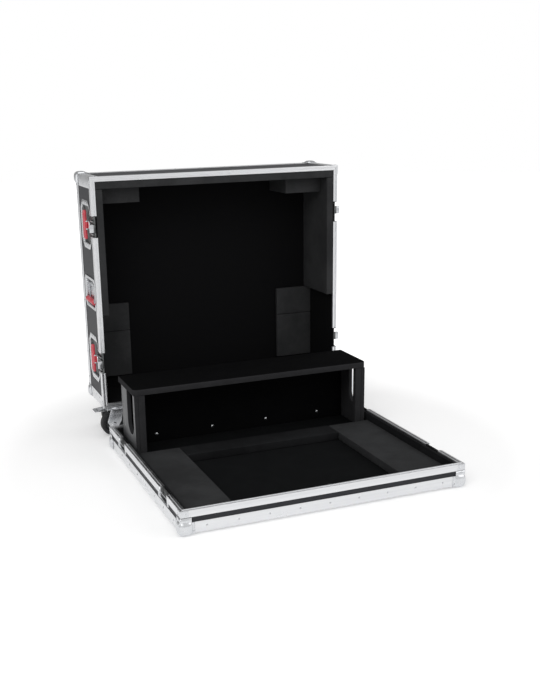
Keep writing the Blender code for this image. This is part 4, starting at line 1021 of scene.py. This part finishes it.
def make_cable_box():
    u, front, back, top = 0.464, FRONT + 0.636, FRONT + 0.850, 0.281
    outline = fillet([(u, front), (u, back), (-u, back), (-u, front)], [0.020, 0.0015, 0.0015, 0.020], 8)
    # The shelf is the lighter copy, with the darker carpet laid over its top, so its edges carry painted
    # highlight.
    bm = bmesh.new()
    slab(bm, outline, "z", top - 0.022, top - 0.0004, 0.0022, 3, 0.0012)
    piece("shelf", bm, BOX_CARPET_LIT, "tray", "carpeted_plywood", "cable_box_shelf", smooth=50)
    bm = bmesh.new()
    slab(bm, offset(outline, 0.0016), "z", top - 0.0012, top, 0.0004)
    piece("shelf_skin", bm, BOX_CARPET, "tray", "carpeted_plywood", "cable_box_shelf", smooth=50)
    low, high = 0.0174, 0.2587
    slot0, slot1, radius = FRONT + 0.660, FRONT + 0.742, 0.041
    y0, y1 = FRONT + 0.638, FRONT + 0.820
    panel = [(y0, low), (y1, low), (y1, high), (slot1, high)]
    panel += arc((slot0 + slot1) / 2, 0.100 + radius, radius, 0, -180, 16) + [(slot0, high), (y0, high)]
    for side_name, side in SIDES.items():
        bm = bmesh.new()
        x0, x1 = sorted((side * 0.4460, side * 0.4600))
        slab(bm, panel, "x", x0, x1, 0.0014, 3)
        x0, x1 = sorted((side * 0.4212, side * 0.4456))
        soft_box(bm, (x0, y0, low), (x1, slot0 - 0.0005, high), 0.0014, 0.05)
        # The sides are in the lighter copy of the carpet: painted light.
        piece(f"box_side_{side_name}", bm, BOX_CARPET_LIT, "tray", "carpeted_plywood",
              f"cable_box_side_{side_name}",
              smooth=50)
        x0, x1 = sorted((side * 0.4602, side * 0.4610))
        bm = bmesh.new()
        slab(bm, offset(panel, 0.0012), "x", x0, x1, 0.0003)
        piece(f"box_side_board_{side_name}", bm, BOX_SKIN, "tray", "carpeted_plywood",
              f"cable_box_side_{side_name}", smooth=50)
    bm = bmesh.new()
    inner = 0.4456
    soft_box(bm, (-inner, FRONT + 0.8065, low), (inner, FRONT + 0.820, high), 0.0012, 0.05)
    piece("box_back", bm, BOX_CARPET, "tray", "carpeted_plywood", "cable_box_back", smooth=50)
    bm = bmesh.new()
    for x in (-0.336, -0.112, 0.112, 0.336):
        for y, way in ((FRONT + 0.8065, -1), (FRONT + 0.820, 1)):
            matrix = facing((x, y, 0.047), (0, way, 0))
            turned(bm, [(0.0062, 0.0), (0.0060, 0.0006), (0.0044, 0.0013), (0.0036, 0.0012), (0.0030, 0.0016),
                        (0.0012, 0.0019), (0.0, 0.0019)], 20, matrix)
    piece("box_screws", bm, ZINC, "tray", "zinc_steel")


# Casters, in their own frame: origin on the swivel axis at floor level, wheel trailing towards +x

def caster_plate(side, end_name):
    """One caster's top plate and its bolts' places. The back one is cut off at the lid's ball corner."""
    outer, inner = side * 0.035, -side * 0.035
    if end_name == "front":
        points = [(inner, -0.052), (outer, -0.052), (outer, 0.065), (inner, 0.065)]
        spots = [(x, y) for x in (-0.0275, 0.0275) for y in (-0.044, 0.057)]
    else:
        points = [(inner, -0.065), (outer, -0.065), (outer, -0.013), (side * 0.020, 0.002),
                  (side * 0.020, 0.040),
                  (inner, 0.040)]
        spots = [(-0.0275, -0.057), (0.0275, -0.057), (side * 0.013, 0.032), (-side * 0.0275, 0.032)]
    return fillet(points, [0.005] * len(points), 4), spots


def make_casters():
    axle = Vector((TRAIL, 0, WHEEL))
    for side_name, side in SIDES.items():
        for end_name, deep in CASTER_DEEPS.items():
            where = f"{end_name}_{side_name}"
            place = Matrix.Translation((side * (HALF - SWIVEL_INSET), OPEN + deep, 0))
            trails_right = (side > 0) == (end_name == "front")
            matrix = place if trails_right else place @ Matrix.Rotation(math.pi, 4, "Z")
            fork_body, wheel_body = f"caster_fork_{where}", f"caster_wheel_{where}"
            outline, spots = caster_plate(side, end_name)
            bm = bmesh.new()
            slab(bm, outline, "z", 0.1268, 0.1297, 0.0006)
            for k, (x, y) in enumerate(spots):
                bolt(bm, (x, y, 0.1268), (0, 0, -1), 0.9, 0.2 + 0.4 * k)
            piece(f"caster_top_plate_{where}", bm, ZINC, "lid", "zinc_steel", f"caster_plate_{side_name}",
                  matrix=place)

            bm = bmesh.new()
            turned(bm, [(0.0262, 0.1098), (0.0290, 0.1106), (0.0300, 0.1122), (0.0298, 0.1150),
                        (0.0284, 0.1164),
                        (0.0284, 0.1180), (0.0298, 0.1194), (0.0300, 0.1224), (0.0290, 0.1250),
                        (0.0272, 0.1263),
                        (0.0180, 0.1263)], 48, Matrix.Identity(4))
            crown = fillet(rectangle(-0.0220, 0.0278, -0.0234, 0.0234), 0.006, 4)
            slab(bm, crown, "z", 0.1046, 0.1100, 0.0014, 3)
            leg = fillet([(0.0275, 0.1073), (0.0438, 0.0600), (0.0288, 0.0313), (0.0052, 0.0313),
                          (-0.0123, 0.0600),
                          (-0.0214, 0.1073)], [0.002, 0.008, 0.004, 0.004, 0.008, 0.002], 4)
            for way in (-1, 1):
                y0, y1 = sorted((way * 0.0206, way * 0.0234))
                slab(bm, leg, "y", y0, y1, 0.0007, 2)
                matrix_bolt = facing((axle.x, way * 0.0233, axle.z), (0, way, 0))
                turned(bm, [(0.0100, 0.0), (0.0100, 0.0006), (0.0096, 0.0009), (0.0, 0.0009)], 28,
                       matrix_bolt)
                turned(bm, [(0.0078, 0.0008), (0.0078, 0.0034), (0.0070, 0.0040), (0.0, 0.0040)], 6,
                       matrix_bolt)
            turned(bm, [(0.0049, -0.0232), (0.0049, 0.0232)], 20, facing(axle, (0, 1, 0)))
            turned(bm, [(0.0075, 0.1046), (0.0075, 0.1022), (0.0062, 0.1008), (0.0, 0.1008)], 24,
                   Matrix.Identity(4))
            if end_name == "front":
                lug = fillet(rectangle(0.0240, 0.0398, 0.1062, 0.1174), [0, 0.003, 0.004, 0.002], 3)
                for way in (-1, 1):
                    y0, y1 = sorted((way * 0.0146, way * 0.0174))
                    slab(bm, lug, "y", y0, y1, 0.0004)
            piece(f"caster_yoke_{where}", bm, ZINC, fork_body, "zinc_steel", fork_body, matrix=matrix)

            bm = bmesh.new()
            half = 0.0175
            right = [(0.0300, half - 0.0052), (0.0320, half - 0.0010), (0.0335, half)]
            right += [(r, h) for r, h in arc(WHEEL - 0.0065, half - 0.0065, 0.0065, 88, 12, 6)]
            right += [(WHEEL - 0.00005, 0.0060)]
            profile = right + [(r, -h) for r, h in reversed(right)]
            turned_ring(bm, profile + [profile[0]], 64, facing(axle, (0, 1, 0)))
            piece(f"caster_tyre_{where}", bm, TYRE, wheel_body, "tyre", wheel_body, matrix=matrix)

            bm = bmesh.new()
            hub = [(0.0053, 0.0196), (0.0125, 0.0196), (0.0132, 0.0190), (0.0140, half - 0.0060),
                   (0.0155, half - 0.0085), (0.0280, half - 0.0085), (0.0296, half - 0.0060),
                   (0.0302, half - 0.0054)]
            profile = hub + [(r, -h) for r, h in reversed(hub)]
            turned_ring(bm, profile + [profile[0]], 64, facing(axle, (0, 1, 0)))
            for k in range(6):
                turn = Matrix.Rotation(math.pi / 3 * k, 4, "Y")
                for way in (-1, 1):
                    y0, y1 = sorted((way * 0.0085, way * 0.0118))
                    rib = bmesh.new()
                    soft_box(rib, (0.0135, y0, -0.0016), (0.0288, y1, 0.0016), 0.0006, 0.02, steps=2)
                    bmesh.ops.transform(rib, matrix=Matrix.Translation(axle) @ turn, verts=rib.verts)
                    merge(bm, rib)
            piece(f"caster_hub_{where}", bm, HUB, wheel_body, "tyre", matrix=matrix)

            if end_name == "front":
                body = f"caster_brake_{side_name}"
                bm = bmesh.new()
                root = fillet([(0.0332, 0.1082), (0.0440, 0.1066), (0.0560, 0.1072), (0.0560, 0.1118),
                               (0.0440, 0.1144), (0.0385, 0.1172), (0.0335, 0.1168)],
                              [0.002, 0.003, 0.001, 0.001, 0.004, 0.003, 0.003], 3)
                slab(bm, root, "y", -0.0139, 0.0139, 0.0008, 2)
                tread = fillet([(0.0482, 0.1062), (0.0918, 0.1057), (0.0918, 0.1092), (0.0760, 0.1113),
                                (0.0482, 0.1138)], [0.001, 0.001, 0.001, 0.006, 0.002], 3)
                slab(bm, tread, "y", -0.0219, 0.0219, 0.0008, 2)
                for k in range(4):
                    x = 0.0750 + 0.0042 * k
                    soft_box(bm, (x, -0.0180, 0.1088), (x + 0.0018, 0.0180, 0.1120 - 0.0006 * k), 0.0006,
                             0.03,
                             steps=2)
                turned(bm, [(0.0030, -0.0182), (0.0030, 0.0182)], 16, facing((0.036, 0, 0.1135), (0, 1, 0)))
                piece(f"caster_pedal_{side_name}", bm, ZINC_DULL, body, "zinc_steel", body, matrix=matrix)


def merge(bm, other):
    """Adds another mesh's geometry to this one."""
    mesh = bpy.data.meshes.new("merged")
    other.to_mesh(mesh)
    other.free()
    bm.from_mesh(mesh)
    bpy.data.meshes.remove(mesh)


def turned_ring(bm, profile, segments, matrix):
    """A closed profile turned about the matrix's z axis: a ring with no caps."""
    loops = [[matrix @ Vector((radius * math.cos(2 * math.pi * k / segments),
                               radius * math.sin(2 * math.pi * k / segments),
                               height)) for k in range(segments)]
             for radius, height in profile]
    loft(bm, loops, (False, False))


# Frame nodes that keep their shape

def dress_nodes():
    for node, material in (("tray_floor", LAMINATE_FLOOR), ("tray_walls", LAMINATE_TRAY),
                           ("lid_panel", LAMINATE_BACK), ("lid_walls", LAMINATE_LID)):
        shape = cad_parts[node]
        shape.data.materials.clear()
        shape.data.materials.append(material)


# Light, floor and camera


def make_world():
    """White to the eye. As light it is brighter in front than above and behind."""
    world = bpy.data.worlds.new("studio")
    bpy.context.scene.world = world
    world.use_nodes = True
    tree = world.node_tree
    ahead = add_node(tree, "SeparateXYZ", (add_node(tree, "TexCoord", output="Generated"),), "Y")
    strength = add_node(tree, "MapRange", (ahead, -0.5, 0.35, FRONT_LIGHT, BACK_LIGHT),
                        interpolation_type="SMOOTHSTEP")
    light = add_node(tree, "Background", {"Color": WHITE, "Strength": strength})
    white = add_node(tree, "Background", {"Color": WHITE})
    seen = add_node(tree, "LightPath", output="Is Camera Ray")
    feed(tree.nodes["World Output"].inputs["Surface"], add_node(tree, "MixShader", (seen, light, white)))


def make_floor():
    """A pale floor that keeps the shadow near the case and turns white to the eye further out."""
    material = bpy.data.materials.new("studio_floor")
    material.use_nodes = True
    tree = material.node_tree
    place = add_node(tree, "TexCoord", output="Object")
    distance = add_node(tree, "VectorMath", (place,), "Value", operation="LENGTH")
    far = add_node(tree, "MapRange", (distance, 0.9, 2.2, FLOOR_GLOW, 1.0))
    glossy = add_node(tree, "LightPath", output="Is Glossy Ray")
    shine = add_node(tree, "Math", (glossy, FLOOR_SHINE), operation="MULTIPLY")
    seen = add_node(tree, "LightPath", output="Is Camera Ray")
    glow = add_node(tree, "Math", (seen, far, shine), operation="MULTIPLY_ADD")
    for name, value in (("Base Color", (0.88, 0.88, 0.88)), ("Roughness", 0.9), ("Specular IOR Level", 0.0),
                        ("Emission Color", WHITE), ("Emission Strength", glow)):
        feed(tree.nodes["Principled BSDF"].inputs[name], value)
    bm = bmesh.new()
    bmesh.ops.create_circle(bm, cap_ends=True, segments=96, radius=14.0)
    mesh = bpy.data.meshes.new("floor")
    bm.to_mesh(mesh)
    bm.free()
    floor = bpy.data.objects.new("floor", mesh)
    bpy.context.scene.collection.objects.link(floor)
    mesh.materials.append(material)


def make_stage():
    make_world()
    make_floor()
    for name, place, aim, size, power in LAMPS:
        lamp = bpy.data.lights.new(name, "AREA")
        lamp.shape = "DISK"
        lamp.size = size
        lamp.energy = power
        shown = bpy.data.objects.new(name, lamp)
        bpy.context.scene.collection.objects.link(shown)
        shown.location = place
        shown.rotation_euler = (Vector(aim) - Vector(place)).to_track_quat("-Z", "Y").to_euler()


def make_camera():
    data = bpy.data.cameras.new("camera")
    data.sensor_width = 36.0
    data.lens = 50.22
    data.shift_x = 0.04654
    data.shift_y = 0.05278
    data.clip_end = 60.0
    camera = bpy.data.objects.new("camera", data)
    bpy.context.scene.collection.objects.link(camera)
    right = Vector((0.93354564, -0.35784429, -0.02097639))
    up = Vector((0.11957184, 0.25570467, 0.9593319))
    back = Vector((-0.33792769, -0.89808829, 0.28150008))
    eye = Vector((-1.28439, -3.19859, 1.26498))
    camera.matrix_world = Matrix.Translation(eye) @ Matrix((right, up, back)).transposed().to_4x4()
    bpy.context.scene.camera = camera


def build():
    dress_nodes()
    make_rims()
    make_edgings()
    make_corners()
    make_braces()
    make_rivets()
    make_keepers()
    for height_name, up in LATCH_UPS.items():
        for side_name, side in SIDES.items():
            make_latch(f"{height_name}_{side_name}", side, up)
    make_handles()
    make_tray_soft()
    make_lid_soft()
    make_cable_box()
    make_casters()
    make_stage()
    make_camera()
    bpy.context.scene.view_settings.view_transform = "Standard"


build()
